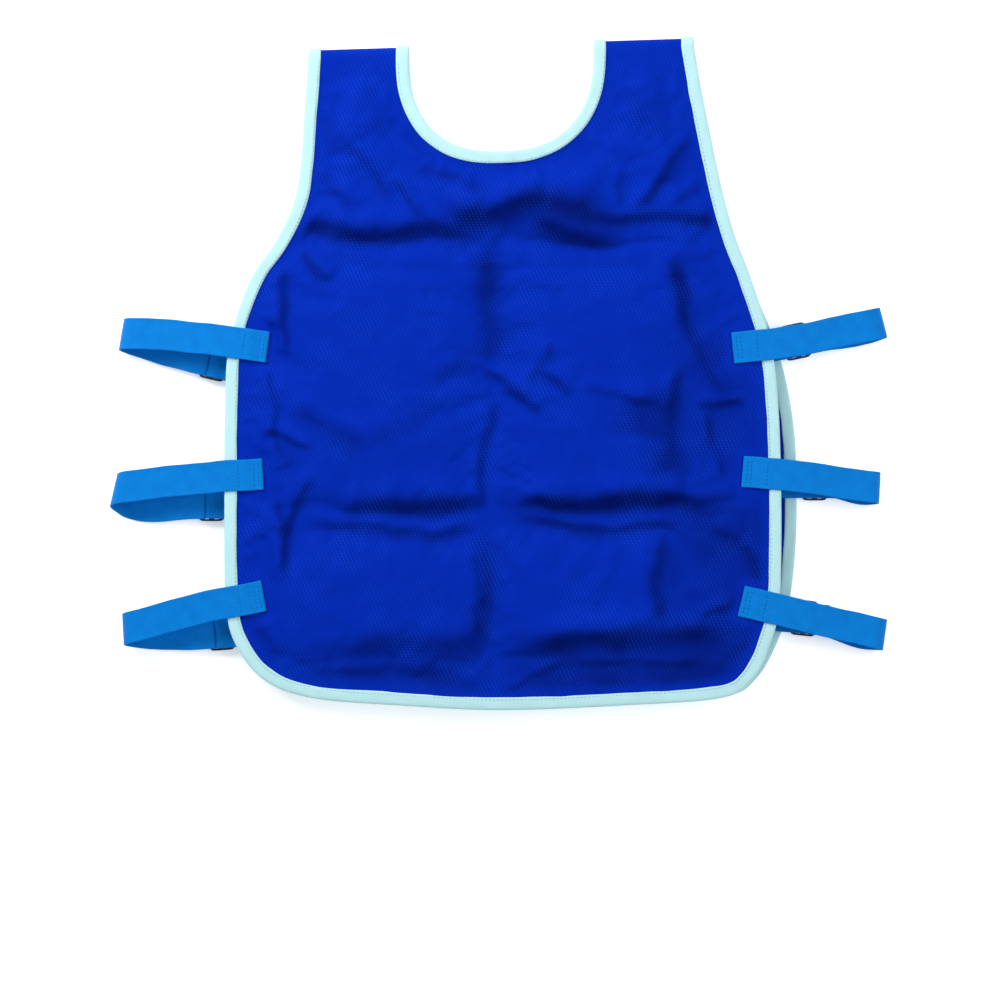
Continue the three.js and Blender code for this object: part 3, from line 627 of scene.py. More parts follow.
def settle(c):
    """Lets the outer cloth settle by simulation: a sheet over the filled pockets, sewn down along the tape
    and between the pockets, cut a little too large and pressed outwards. Of its rise above the pockets'
    shape it keeps the wrinkles and a share of the bulk, which is the rise averaged with its neighbours many
    times over, and a hyperbolic tangent holds it below a limit."""
    xs = np.arange(SETTLE_REACH[0] * c.half_chest, SETTLE_REACH[1] * c.half_chest, SETTLE_GRID)
    ss = np.arange(0, c.bend_start + SETTLE_GRID, SETTLE_GRID)
    x, s = np.meshgrid(xs, ss)
    c.settled_from = (xs[0], ss[0])
    c.settled = np.zeros_like(x)
    shape = c.outer_swell * pads(c, x, s) + c.loose_swell * pocket_share(c, x, s)
    sewn = (edge_distance(c, x, s) < c.tape_width + SETTLE_GRID) | (s > c.bend_start - YOKE_MARGIN)
    among = (x > SEAM_REACH[0] * c.half_chest) & (x < SEAM_REACH[1] * c.half_chest)
    among &= (s > POCKET_BOTTOM * c.vest_length) & (s < POCKET_TOP * c.vest_length)
    sewn |= among & (pads(c, x, s) < SEAM_SHARE)
    sheet = add_mesh("settling_cloth", np.stack([x, s, shape], -1) * MM, grid_faces(*x.shape))
    sheet.vertex_groups.new(name="sewn").add(np.flatnonzero(sewn).tolist(), 1.0, "REPLACE")
    cloth = sheet.modifiers.new("settling", "CLOTH")
    cloth.collision_settings.use_collision = False
    cloth.point_cache.frame_start = 1
    cloth.point_cache.frame_end = SETTLE_FRAMES
    for name, value in SETTLE_CLOTH.items():
        setattr(cloth.settings, name, value)
    cloth.settings.vertex_group_mass = "sewn"
    cloth.settings.effector_weights.gravity = SETTLE_PRESS
    scene = bpy.context.scene
    for number in range(1, SETTLE_FRAMES + 1):
        scene.frame_set(number)
    mesh = sheet.evaluated_get(bpy.context.evaluated_depsgraph_get()).to_mesh()
    places = np.empty(3 * len(mesh.vertices), np.float32)
    mesh.vertices.foreach_get("co", places)
    rise = places.reshape(-1, 3)[:, 2].reshape(x.shape) / MM - shape
    bulk = rise
    for _ in range(SETTLE_BLUR):
        bulk = bulk / 2 + sum(np.roll(bulk, way, axis) for way in (1, -1) for axis in (0, 1)) / 8
    c.settled = SETTLE_LIMIT * np.tanh((rise - (1 - SETTLE_BULK) * bulk) / SETTLE_LIMIT)
    scene.frame_set(1)
    bpy.data.objects.remove(sheet)


def settled(c, x, s):
    """The settled cloth's rise at any place, blended with level ends between the sheet's points."""
    rows, columns = c.settled.shape
    u = np.clip((x - c.settled_from[0]) / SETTLE_GRID, 0, columns - 1.001)
    v = np.clip((s - c.settled_from[1]) / SETTLE_GRID, 0, rows - 1.001)
    i, j = np.floor(v).astype(int), np.floor(u).astype(int)
    fv, fu = smooth(v - i), smooth(u - j)
    low = c.settled[i, j] * (1 - fu) + c.settled[i, j + 1] * fu
    high = c.settled[i + 1, j] * (1 - fu) + c.settled[i + 1, j + 1] * fu
    return low * (1 - fv) + high * fv


def under_straps(c, x, s):
    """One under the straps' sewn ends, which press the cloth flat, and nothing from a reach away, by the
    distance to each seat's rectangle."""
    share = np.zeros_like(x)
    for row in STRAPS:
        p = strap_plan(c, row)
        left = sideways(p.seat)
        inward = (p.start[0] - x) * p.seat[0] + (p.start[1] - s) * p.seat[1]
        across = np.abs((x - p.start[0]) * left[0] + (s - p.start[1]) * left[1])
        beyond = np.maximum(inward - SEAT_LENGTH, 0) + np.maximum(-inward, 0)
        away = np.hypot(beyond, np.maximum(across - c.webbing_width / 2, 0))
        share = np.maximum(share, smooth((STRAP_PRESS - away) / (PRESS_BLEND * STRAP_PRESS)))
    return share


def relief(c, side, x, s, inside):
    """Height of a panel's outer and inner face above the flat cloth, from swelling, creases and fine slack,
    and the share of painted shade on the outer cloth, none at the back."""
    off_tape = smooth((inside - c.tape_width - TAPE_PLAY) / TAPE_BLEND)
    free = off_tape * smooth((c.bend_start - s) / FREE_BLEND)
    if side == "front":
        free = free * (1 - under_straps(c, x, s))
    pockets = pocket_share(c, x, s)
    warp_x, warp_s = x + layered(x, s, WARP_ACROSS), s + layered(x, s, WARP_UP)
    filled = pads(c, warp_x, warp_s)
    loose = np.maximum(c.loose_swell * pockets, c.yoke_swell * yoke_share(c, s, inside))
    slack = 0
    for height, cell, seed, xu, su, xv, sv in SLACK:
        slack = slack + height * noise(xu * warp_x + su * warp_s, xv * warp_x + sv * warp_s, cell, seed)
    creases, painted_shade = crease_heights(c, warp_x, warp_s, 1 if side == "front" else -1)
    uneven = 1 + layered(x, s, UNEVEN_CREASES)
    creases, painted_shade = creases * uneven, np.clip(painted_shade * uneven, 0, 1)
    share = 1.0 if side == "front" else BACK_CREASES
    raised = c.outer_swell * filled + creases * share + slack + settled(c, warp_x, warp_s)
    outer = loose * (free if side == "front" else 1) + free * raised
    outer = np.maximum(outer, -DEEPEST_DIP * free)
    if side == "back":
        inner = c.back_inner_swell * pockets * filled + free * layered(x, s, UNEVEN_BACK)
        return np.minimum(outer, c.rest_lift), inner, 0 * painted_shade
    inner = c.front_inner_swell * pockets + free * layered(x, s, UNEVEN_FRONT)
    return np.minimum(outer, c.highest), inner, painted_shade * free


def add_mesh(name, points, faces, uv=None):
    """Makes an object from arrays of points and of faces, with a map in metres if one is given."""
    mesh = bpy.data.meshes.new(name)
    faces = faces.tolist() if isinstance(faces, np.ndarray) else faces
    mesh.from_pydata(np.asarray(points, float).reshape(-1, 3).tolist(), [], faces)
    if uv is not None:
        layer = mesh.uv_layers.new(name="cut")
        loop_vertex = np.empty(len(mesh.loops), np.int32)
        mesh.loops.foreach_get("vertex_index", loop_vertex)
        layer.data.foreach_set("uv", np.asarray(uv, np.float32).reshape(-1, 2)[loop_vertex].ravel())
    body = bmesh.new()
    body.from_mesh(mesh)
    bmesh.ops.recalc_face_normals(body, faces=body.faces)
    body.to_mesh(mesh)
    body.free()
    mesh.polygons.foreach_set("use_smooth", np.ones(len(mesh.polygons), bool))
    piece = bpy.data.objects.new(name, mesh)
    bpy.context.scene.collection.objects.link(piece)
    return piece


def finish_piece(piece, material, replaced=()):
    """Gives a piece its material, hangs it under the root body's empty and hides the parts that it replaces.
    """
    piece.data.materials.append(material)
    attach(piece, "root")
    if replaced:
        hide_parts(*replaced)
    return piece


def grid_faces(rows, columns, closed_rows=False, closed_columns=False):
    """Four-sided faces between neighbouring points of a grid, which may close on itself either way."""
    i, j = np.meshgrid(
        np.arange(rows if closed_rows else rows - 1),
        np.arange(columns if closed_columns else columns - 1),
        indexing="ij",
    )
    i2, j2 = (i + 1) % rows, (j + 1) % columns
    corners = [i * columns + j, i * columns + j2, i2 * columns + j2, i2 * columns + j]
    return np.stack(corners, -1).reshape(-1, 4)


def panel_piece(c, side):
    """A closed shell over a grid of the flat cloth: its cells inside the edge are kept on both faces, its
    border is moved on to a line just inside the edge, and a strip of faces joins the two faces there."""
    top = c.crest - c.clearance / 2
    left, right = [share * c.half_chest for share in PANEL_REACH]
    xs = np.linspace(left, right, round((right - left) / c.grid))
    ss = np.linspace(0, top, round(top / c.grid))
    x, s = np.meshgrid(xs, ss)
    inside = edge_distance(c, x, s)
    rim = c.tape + c.clearance + RIM_PLAY
    keep_point = inside > rim
    cell = keep_point[:-1, :-1] & keep_point[1:, :-1] & keep_point[:-1, 1:] & keep_point[1:, 1:]
    faces = grid_faces(*x.shape)[cell.ravel()]
    edges = np.concatenate([faces[:, [k, (k + 1) % 4]] for k in range(4)])
    keys = np.sort(edges, 1)
    _, place, count = np.unique(keys, axis=0, return_index=True, return_counts=True)
    border = edges[place[count == 1]]
    on_border = np.zeros(x.size, bool)
    on_border[border.ravel()] = True
    on_border &= s.ravel() < top - 1e-6
    x, s = x.ravel(), s.ravel()
    step = c.grid / 5
    there = inside.ravel()[on_border]
    bx, bs = x[on_border], s[on_border]
    gx = (edge_distance(c, bx + step, bs) - edge_distance(c, bx - step, bs)) / (2 * step)
    gs = (edge_distance(c, bx, bs + step) - edge_distance(c, bx, bs - step)) / (2 * step)
    x[on_border] = bx - gx * (there - rim)
    s[on_border] = np.minimum(bs - gs * (there - rim), top)
    inside = np.maximum(inside.ravel(), rim)
    outer, inner, painted_shade = relief(c, side, x, s, inside)
    pressed = 1 - FOLD_PRESS * np.clip((s - c.bend_start) / c.bend_length, 0, 1) ** 2
    outside = lay(c, side, x, s, c.half_cloth * pressed + outer)
    inside_face = lay(c, side, x, s, -c.half_cloth * pressed - inner)
    outside[:, 2] = np.maximum(outside[:, 2], 0)
    used = np.unique(faces)
    renumber = np.full(x.size, -1)
    renumber[used] = np.arange(len(used))
    faces, border = renumber[faces], renumber[border]
    n = len(used)
    walls = np.stack([border[:, 1], border[:, 0], border[:, 0] + n, border[:, 1] + n], -1)
    points = np.concatenate([outside[used], inside_face[used]])
    uv = np.stack([x[used], s[used]], -1) * MM
    faces = np.concatenate([faces, faces[:, ::-1] + n, walls])
    piece = add_mesh(side + "_cloth", points, faces, np.concatenate([uv, uv]))
    # Painted shade: a point attribute that darkens the outer cloth's colour in its folds and shaded patches,
    # none on the inner face
    layer = piece.data.attributes.new("painted_shade", "FLOAT", "POINT")
    layer.data.foreach_set("value", np.concatenate([painted_shade[used], 0 * painted_shade[used]]).astype(np.float32))
    return piece


def tape_profile(c):
    """Half of the folded tape's section, as depth from the edge and height, mirrored to a U: outer face
    slightly crowned, a round fold, and a free edge that bears on the cloth."""
    slot, face, wide = c.half_cloth + 0.12, c.face, c.tape_width
    outer = np.array([
        (wide, slot + 0.55 * c.tape),
        (wide - 0.5, face - 0.12),
        (0.75 * wide, face),
        (0.5 * wide, face + 0.05),
        (0.25 * wide, face),
        (0.9, face - 0.16),
        (0.3, face - 0.6),
        (0, face - 1.3),
    ])
    inner = np.array([(c.tape, slot - 0.5), (c.tape + 0.4, slot), (0.5 * wide, slot), (wide - 0.1, slot)])
    return np.concatenate([outer, outer[::-1] * [1, -1], inner[::-1] * [1, -1], inner])


def binding_piece(c, name, line, node, joint, seed):
    """The tape's section carried along the edge of the front panel, over a shoulder fold, along the back
    panel's edge and over the other fold, with puckers that follow the seam. Where the tape's ends lap, at a
    share of the front run, it lies thicker."""
    places, inward = stations(c, line, TAPE_STEP)
    profile = tape_profile(c)
    depth, h = profile[:, 0], profile[:, 1]
    run = np.arange(len(places))[:, None] * TAPE_STEP
    lap = run - joint * run[-1]
    lap = LAP_RISE * smooth(lap / LAP_BLEND) * smooth((LAP_LENGTH - lap) / LAP_BLEND)
    still = 0 * run
    wave = sum(size * noise(run, still + at, cell, seed + k) for size, cell, at, k in TAPE_WAVES)
    off_edge = depth[None, :] + wave * smooth((depth - WAVE_START) / WAVE_BLEND)[None, :]
    x = places[:, :1] + inward[:, :1] * off_edge
    s = places[:, 1:] + inward[:, 1:] * off_edge
    bulge = np.where(np.abs(h) > c.half_cloth + c.clearance, np.sign(h), 0)[None, :]
    flat_cloth = smooth((c.bend_start - s) / PUCKER_BLEND)
    rings = []
    runs = (("front", 0, lap, slice(None)), ("back", BACK_PUCKERS, 0, slice(-2, 0, -1)))
    for side, at, rise, order in runs:
        ripple = rise
        for size, cell, lean, k in TAPE_PUCKERS:
            ripple = ripple + size * noise(run + lean * depth, still + at, cell, seed + k)
        rings.append(lay(c, side, x, s, h[None, :] + bulge * ripple * flat_cloth)[order])
    points = np.concatenate(rings)
    rows, columns = points.shape[:2]
    across = np.cumsum(np.concatenate([[0], np.hypot(*np.diff(profile, axis=0).T)]))
    uv = np.stack(np.broadcast_arrays(np.arange(rows)[:, None] * TAPE_STEP, across[None, :]), -1) * MM
    piece = add_mesh(name, points, grid_faces(rows, columns, True, True), uv)
    return finish_piece(piece, material("plain_woven_polyester_tape", tape_shader), [node])


def edge_at(c, side, s):
    """Width of the cloth on one side at a height, found along the edge line."""
    line = edge_line(c)
    half = line[line[:, 0] * side > 0]
    order = np.argsort(half[:, 1])
    return np.interp(s, half[order, 1], half[order, 0])


def strap_plan(c, row):
    """Where a strap's main points lie, seen from above, in millimetres of the flat cloth, and its directions
    there, all pointing outwards. A flat band leaves a fold as it came, mirrored about the fold's normal."""
    _name, side, up, out, turn_rise, slider_rise, tab, *slopes = row
    s = up * c.vest_length
    start = np.array([edge_at(c, side, s), s])
    turn = np.array([start[0] + side * out * STRAP_REACH, s + turn_rise * STRAP_REACH])
    slider_s = s + slider_rise * STRAP_REACH
    shown = tab * c.slider_length
    edge = edge_at(c, side, slider_s) + slide(c, slider_s)
    slider = np.array([edge + side * (shown + c.slider_length / 2), slider_s])
    seat, run, fold, slider_slope = np.radians(slopes)
    angles = {"seat": seat, "run": run, "fold": fold, "back": 2 * fold - run, "slider_way": slider_slope}
    ways = {name: np.array([side * math.cos(angle), math.sin(angle)]) for name, angle in angles.items()}
    return SimpleNamespace(start=start, turn=turn, slider=slider, shown=shown, **ways)


def seat_height(c, inward):
    """Height of a strap's middle above the cloth's middle: over the tape, then down on to the cloth."""
    lowered = smooth((inward - c.tape_width - SEAT_STEP) / SEAT_STEP)
    return c.face + (c.half_cloth - c.face) * lowered + c.clearance + c.webbing / 2


def sideways(way):
    """A direction in plan turned a quarter to the left."""
    return np.stack([-way[..., 1], way[..., 0]], -1)


def run_between(start, leaving, end, arriving, share):
    """A cubic in plan that leaves one point along a direction and reaches another along a second one, as
    places and unit directions of travel at shares of its parameter."""
    third = np.linalg.norm(end - start) / 3
    b = [start, start + leaving * third, end - arriving * third, end]
    t = share[:, None]
    at = b[0] * (1 - t) ** 3 + 3 * b[1] * t * (1 - t) ** 2 + 3 * b[2] * t**2 * (1 - t) + b[3] * t**3
    slope = (b[1] - b[0]) * (1 - t) ** 2 + 2 * (b[2] - b[1]) * t * (1 - t) + (b[3] - b[2]) * t**2
    return at, unit(slope)


def strap_path(c, row):
    """Stations of a strap's middle line, its way in plan and the line it is cut along there: sewn end, run
    to the turn, a helix of half a turn whose axis lies along the fold, run back, then over the slider's
    outer bar, down round it and out underneath."""
    p = strap_plan(c, row)
    half = c.webbing / 2
    axis = sideways(p.fold)
    parts = []

    def add(at, z, way, cut):
        z = np.broadcast_to(z, (len(at),))
        parts.append([np.column_stack([at, z]), *[np.broadcast_to(v, at.shape) for v in (way, cut)]])

    seat = np.linspace(SEAT_LENGTH, 0, SEAT_STATIONS)
    add(p.start - np.outer(seat, p.seat), c.front_middle + seat_height(c, seat), p.seat, sideways(p.seat))
    turn_top, turn_floor = LOOP_TOP - half, LOOP_FLOOR + half
    share = np.linspace(*RUN_OUT, RUN_STATIONS)
    at, way = run_between(p.start, p.seat, p.turn, p.run, share)
    seat_top = c.front_middle + seat_height(c, 0)
    mixed = smooth(share)[:, None]
    cut = sideways(way) * (1 - mixed) + axis * mixed
    add(at, seat_top + (turn_top - seat_top) * smooth(share / CLIMB_SHARE), way, cut)
    radius = (turn_top - turn_floor) / 2
    skew = (p.run @ axis) / (p.run @ p.fold)
    swing = np.linspace(0, math.pi, c.turn_steps)
    at = p.turn + np.outer(radius * np.sin(swing), p.fold) + np.outer(radius * swing * skew, axis)
    add(at, turn_floor + radius * (1 + np.cos(swing)), p.run, axis)
    over_bar = c.slider_floor + c.slider_thickness + c.clearance + half
    under_bar = c.slider_floor - c.clearance - half
    mouth = p.slider + p.slider_way * (c.slider_length / 2 + SLIDER_LEAD)
    share = np.linspace(*RUN_BACK, RUN_STATIONS)
    at, travel = run_between(at[-1], -p.back, mouth, -p.slider_way, share)
    mixed = smooth(share)[:, None]
    cut = axis * (1 - mixed) - sideways(travel) * mixed
    add(at, turn_floor + (over_bar - turn_floor) * smooth(share), -travel, cut)
    dive = c.slider_length / 2 - SLIDER_BAR - c.clearance - half
    reach = c.slider_length / 2 + SLIDER_LEAD
    weave = np.array([(reach, over_bar), (dive, over_bar), (dive, under_bar), (TAIL_LENGTH, turn_floor)])
    weave = rounded(weave, FOLD_CORNER)[1:]
    add(p.slider + np.outer(weave[:, 0], p.slider_way), weave[:, 1], p.slider_way, sideways(p.slider_way))
    return [np.concatenate(column) for column in zip(*parts)]


def rounded(points, radius, steps=5):
    """A polyline with each corner replaced by a quadratic curve that starts and ends up to a radius away."""
    before, corner, after = points[:-2], points[1:-1], points[2:]
    to_before, to_after = before - corner, after - corner
    reach = [np.linalg.norm(v, axis=1, keepdims=True) for v in (to_before, to_after)]
    a = corner + to_before / reach[0] * np.minimum(radius, reach[0] / 2)
    b = corner + to_after / reach[1] * np.minimum(radius, reach[1] / 2)
    t = np.linspace(0, 1, steps)[None, :, None]
    curve = a[:, None] * (1 - t) ** 2 + 2 * corner[:, None] * t * (1 - t) + b[:, None] * t**2
    inner = curve.reshape(-1, points.shape[1])
    return np.concatenate([points[:1], inner, points[-1:]])


def webbing_section(c):
    """Section of the webbing: flat faces with a fine selvedge bead and round edges."""
    half_wide, half = c.webbing_width / 2, c.webbing / 2
    across = np.array([1, 0.985, 0.95, 0.9, 0.45, 0, -0.45, -0.9, -0.95, -0.985, -1]) * half_wide
    high = np.array([0.35, 0.85, 1, 0.88, 0.94, 0.9, 0.94, 0.88, 1, 0.85, 0.35]) * half
    return np.concatenate([np.stack([across, high], -1), np.stack([across[::-1], -high[::-1]], -1)])


def webbing_piece(c, name, path, node, seed):
    """The webbing's section carried along a path, cut level along the given lines: a cut that slants by an
    angle is wider than the webbing by one over its cosine. The selvedges cup inwards a little."""
    places, ways, cuts = path
    cuts = unit(cuts)
    slant = 1 / (cuts * sideways(ways)).sum(1)
    wide = np.column_stack([cuts, np.zeros(len(cuts))])
    along = np.gradient(places, axis=0)
    thick = np.cross(unit(along - wide * (along * wide).sum(1, keepdims=True)), wide)
    section = webbing_section(c)
    run = run_along(places)
    across = section[None, :, :1] * slant[:, None, None]
    sway = sum(size * noise(run, run * 0 + seed * 9, cell, seed + k) for size, cell, k in WEBBING_SWAY)
    points = places[:, None] + wide[:, None] * (across + sway[:, None, None])
    points = points + thick[:, None] * section[None, :, 1:] + np.array([c.x0, c.y0, 0])
    points[..., 2] = np.maximum(points[..., 2], 0.05)
    rows, columns = points.shape[:2]
    faces = grid_faces(rows, columns, False, True).tolist()
    faces.append(list(range(columns))[::-1])
    faces.append([(rows - 1) * columns + k for k in range(columns)])
    uv = np.stack(np.broadcast_arrays(run[:, None], section[None, :, 0]), -1) * MM
    piece = add_mesh(name, points * MM, faces, uv)
    return finish_piece(piece, material("woven_polypropylene_webbing", webbing_shader), [node])


def tab_path(c, row):
    """Stations of a tab: over the back panel's edge, round the slider's middle bar and back underneath."""
    p = strap_plan(c, row)
    half = c.webbing / 2
    under = c.slider_floor - c.clearance - half
    over = c.slider_floor + c.slider_thickness + c.clearance + half
    fold = SLIDER_BAR / 2 + c.clearance + half + LOOSE_FOLD
    bar = -c.slider_length / 2
    end = bar - p.shown - SEAT_LENGTH
    on_tape = c.back_middle + seat_height(c, 0)
    on_cloth = c.back_middle + seat_height(c, SEAT_LENGTH)
    step_end = bar - p.shown - c.tape_width - 2 * SEAT_STEP
    section = [
        (end, on_cloth),
        (step_end, on_cloth),
        (step_end + SEAT_STEP, on_tape),
        (bar - p.shown / 2, on_tape),
        (bar + SLIDER_BAR / 3, over),
        (fold, over),
        (fold, under),
        (step_end + SEAT_STEP, under),
        (end, under),
    ]
    section = rounded(np.array(section), FOLD_CORNER)
    at = p.slider + np.outer(section[:, 0], p.slider_way)
    places = np.column_stack([at, section[:, 1]])
    return places, np.broadcast_to(p.slider_way, at.shape), np.broadcast_to(sideways(p.slider_way), at.shape)


def slider_piece(c, row):
    """Three-bar slider: a rounded section carried round a rounded rectangle, wider along the bars than
    along the sides, and a middle bar of the same section."""
    p = strap_plan(c, row)
    long_half = c.slider_length / 2 - SLIDER_BAR / 2
    wide_half = c.webbing_width / 2 + SLOT_PLAY + SLIDER_SIDE / 2
    px, py = superellipse(np.linspace(0, 2 * math.pi, OUTLINE_POINTS, endpoint=False), SLIDER_CORNERS)
    path = np.column_stack([long_half * px, wide_half * py])
    path = evenly(np.concatenate([path, path[:1]]), 1.1)[:-1]
    normal = -sideways(unit(np.roll(path, -1, 0) - np.roll(path, 1, 0)))
    bar_share = np.abs(normal[:, 0]) ** 2
    half_bar = (SLIDER_BAR * bar_share + SLIDER_SIDE * (1 - bar_share)) / 2
    ring = SECTION_POINTS
    u, v = superellipse(np.linspace(0, 2 * math.pi, ring, endpoint=False), SECTION_CORNERS)
    v = v * c.slider_thickness / 2
    flat = path[:, None] + normal[:, None] * (half_bar[:, None] * u[None])[..., None]
    outline = np.concatenate([flat, np.broadcast_to(v[None, :, None], flat.shape[:2] + (1,))], -1)
    bar_y = np.linspace(-1, 1, BAR_STATIONS)[:, None] * (wide_half - BAR_INSET)
    bar = np.stack(np.broadcast_arrays(u[None] * SLIDER_BAR / 2, bar_y, v[None] * BAR_CROWN), -1)
    points = np.concatenate([outline.reshape(-1, 3), bar.reshape(-1, 3)])
    n = outline.shape[0] * ring
    last = n + (len(bar) - 1) * ring
    faces = grid_faces(outline.shape[0], ring, True, True).tolist()
    faces += (grid_faces(len(bar), ring, False, True) + n).tolist()
    faces += [[n + k for k in reversed(range(ring))], [last + k for k in range(ring)]]
    turned = points[:, :1] * p.slider_way + points[:, 1:2] * sideways(p.slider_way)
    z = points[:, 2] + c.slider_floor + c.slider_thickness / 2
    placed = np.column_stack([turned + p.slider + [c.x0, c.y0], z]) * MM
    piece = add_mesh("slide_buckle_" + row[0], placed, faces)
    acetal = material("moulded_black_acetal", acetal_shader)
    return finish_piece(piece, acetal, ["slider_" + row[0]])


def stitch_points(places, ways, long, thick):
    """Points and faces of a row of stitches: each a six-sided spindle along its way, of five rings whose
    radius goes as the sine, arched so that its ends sink in."""
    share = np.linspace(0.08, 0.92, STITCH_RINGS)
    around = np.linspace(0, 2 * math.pi, STITCH_SIDES, endpoint=False)
    radius = thick / 2 * np.sin(math.pi * share) ** 0.5
    along = (share - 0.5) * long
    across = radius[:, None] * np.cos(around)
    high = radius[:, None] * np.sin(around) - STITCH_SINK * thick * (2 * share[:, None] - 1) ** 2
    left = sideways(ways)
    flat = ways[:, None, None] * along[:, None, None] + left[:, None, None] * across[None, :, :, None]
    flat = flat + places[:, None, None, :2]
    z = np.broadcast_to(places[:, None, None, 2:] + high[None, :, :, None], flat.shape[:3] + (1,))
    points = np.concatenate([flat, z], -1).reshape(-1, 3)
    rings = grid_faces(STITCH_RINGS, STITCH_SIDES, False, True)
    count = STITCH_RINGS * STITCH_SIDES
    starts = np.arange(len(places)) * count
    faces = (starts[:, None, None] + rings).reshape(-1, 4).tolist()
    for cap in (np.arange(STITCH_SIDES)[::-1], np.arange(count - STITCH_SIDES, count)):
        faces += (starts[:, None] + cap).tolist()
    return points, faces


def strap_stitches_piece(c, row, seed):
    """Three rows of lockstitch across a strap's sewn end: at the tape's inner edge and twice near its end."""
    p = strap_plan(c, row)
    count = int((c.webbing_width - 3) / c.stitch)
    offset = (np.arange(count) - (count - 1) / 2) * c.stitch
    left = sideways(p.seat)
    places = []
    for inward in (c.tape_width + ROW_PAST_TAPE, *[SEAT_LENGTH - away for away in ROWS_FROM_END]):
        shift = 0.35 * noise(offset, offset * 0 + inward, 6, seed)
        at = p.start - p.seat * (inward + shift[:, None]) + offset[:, None] * left
        z = c.front_middle + seat_height(c, np.array(inward)) + c.webbing / 2 + STITCH_ON_WEBBING
        places.append(np.column_stack([at, np.full(count, float(z))]))
    places = np.concatenate(places)
    ways = np.broadcast_to(left, (len(places), 2))
    points, faces = stitch_points(places, ways, STITCH_SHARE * c.stitch, c.thread)
    piece = add_mesh("strap_stitches_" + row[0], (points + [c.x0, c.y0, 0]) * MM, faces)
    return finish_piece(piece, material("spun_polyester_thread_blue", thread_shader))


def tape_stitches_piece(c, name, line):
    """A row of lockstitch along the tape near its inner edge, on the front and on the back."""
    inset = c.tape_width - TAPE_ROW_INSET
    parts = []
    for side in ("front", "back"):
        places, inward = stations(c, line, c.stitch)
        keep = places[:, 1] < c.bend_start - TAPE_ROW_START
        places, inward = places[keep], inward[keep]
        at = places + inward * inset
        ways = np.stack([inward[:, 1], -inward[:, 0]], -1)
        laid = lay(c, side, at[:, 0], at[:, 1], np.full(len(at), c.face + STITCH_ON_TAPE)) / MM
        parts.append(stitch_points(laid, ways, STITCH_SHARE * c.stitch, c.thread))
    count = len(parts[0][0])
    faces = parts[0][1] + [[k + count for k in face] for face in parts[1][1]]
    piece = add_mesh(name, np.concatenate([parts[0][0], parts[1][0]]) * MM, faces)
    return finish_piece(piece, material("spun_polyester_thread_pale", tape_thread_shader))


def add_node(tree, kind, inputs=None, **settings):
    """Adds a node, sets its properties, and sets or links its inputs. A node given as an input is linked from
    its first output."""
    item = tree.nodes.new(kind)
    for name, value in settings.items():
        setattr(item, name, value)
    for key, value in (inputs or {}).items():
        if isinstance(value, bpy.types.Node):
            value = value.outputs[0]
        if isinstance(value, bpy.types.NodeSocket):
            tree.links.new(value, item.inputs[key])
        else:
            item.inputs[key].default_value = value
    return item


def material(name, shader):
    """The material of that name, made at its first use: its shader adds the nodes and gives the last one."""
    if name not in bpy.data.materials:
        made = bpy.data.materials.new(name)
        made.use_nodes = True
        made.node_tree.nodes.clear()
        add_node(made.node_tree, "ShaderNodeOutputMaterial", {"Surface": shader(made.node_tree)})
    return bpy.data.materials[name]


def mixed_colour(tree, factor, first, second):
    """A colour between two, by a factor that is linked: the mix node's colour sockets."""
    mix = add_node(tree, "ShaderNodeMix", {0: factor, 6: first, 7: second}, data_type="RGBA")
    return mix.outputs[2]


def darker(dye, share):
    """A colour times a share."""
    return [share * value for value in dye[:3]] + [1.0]


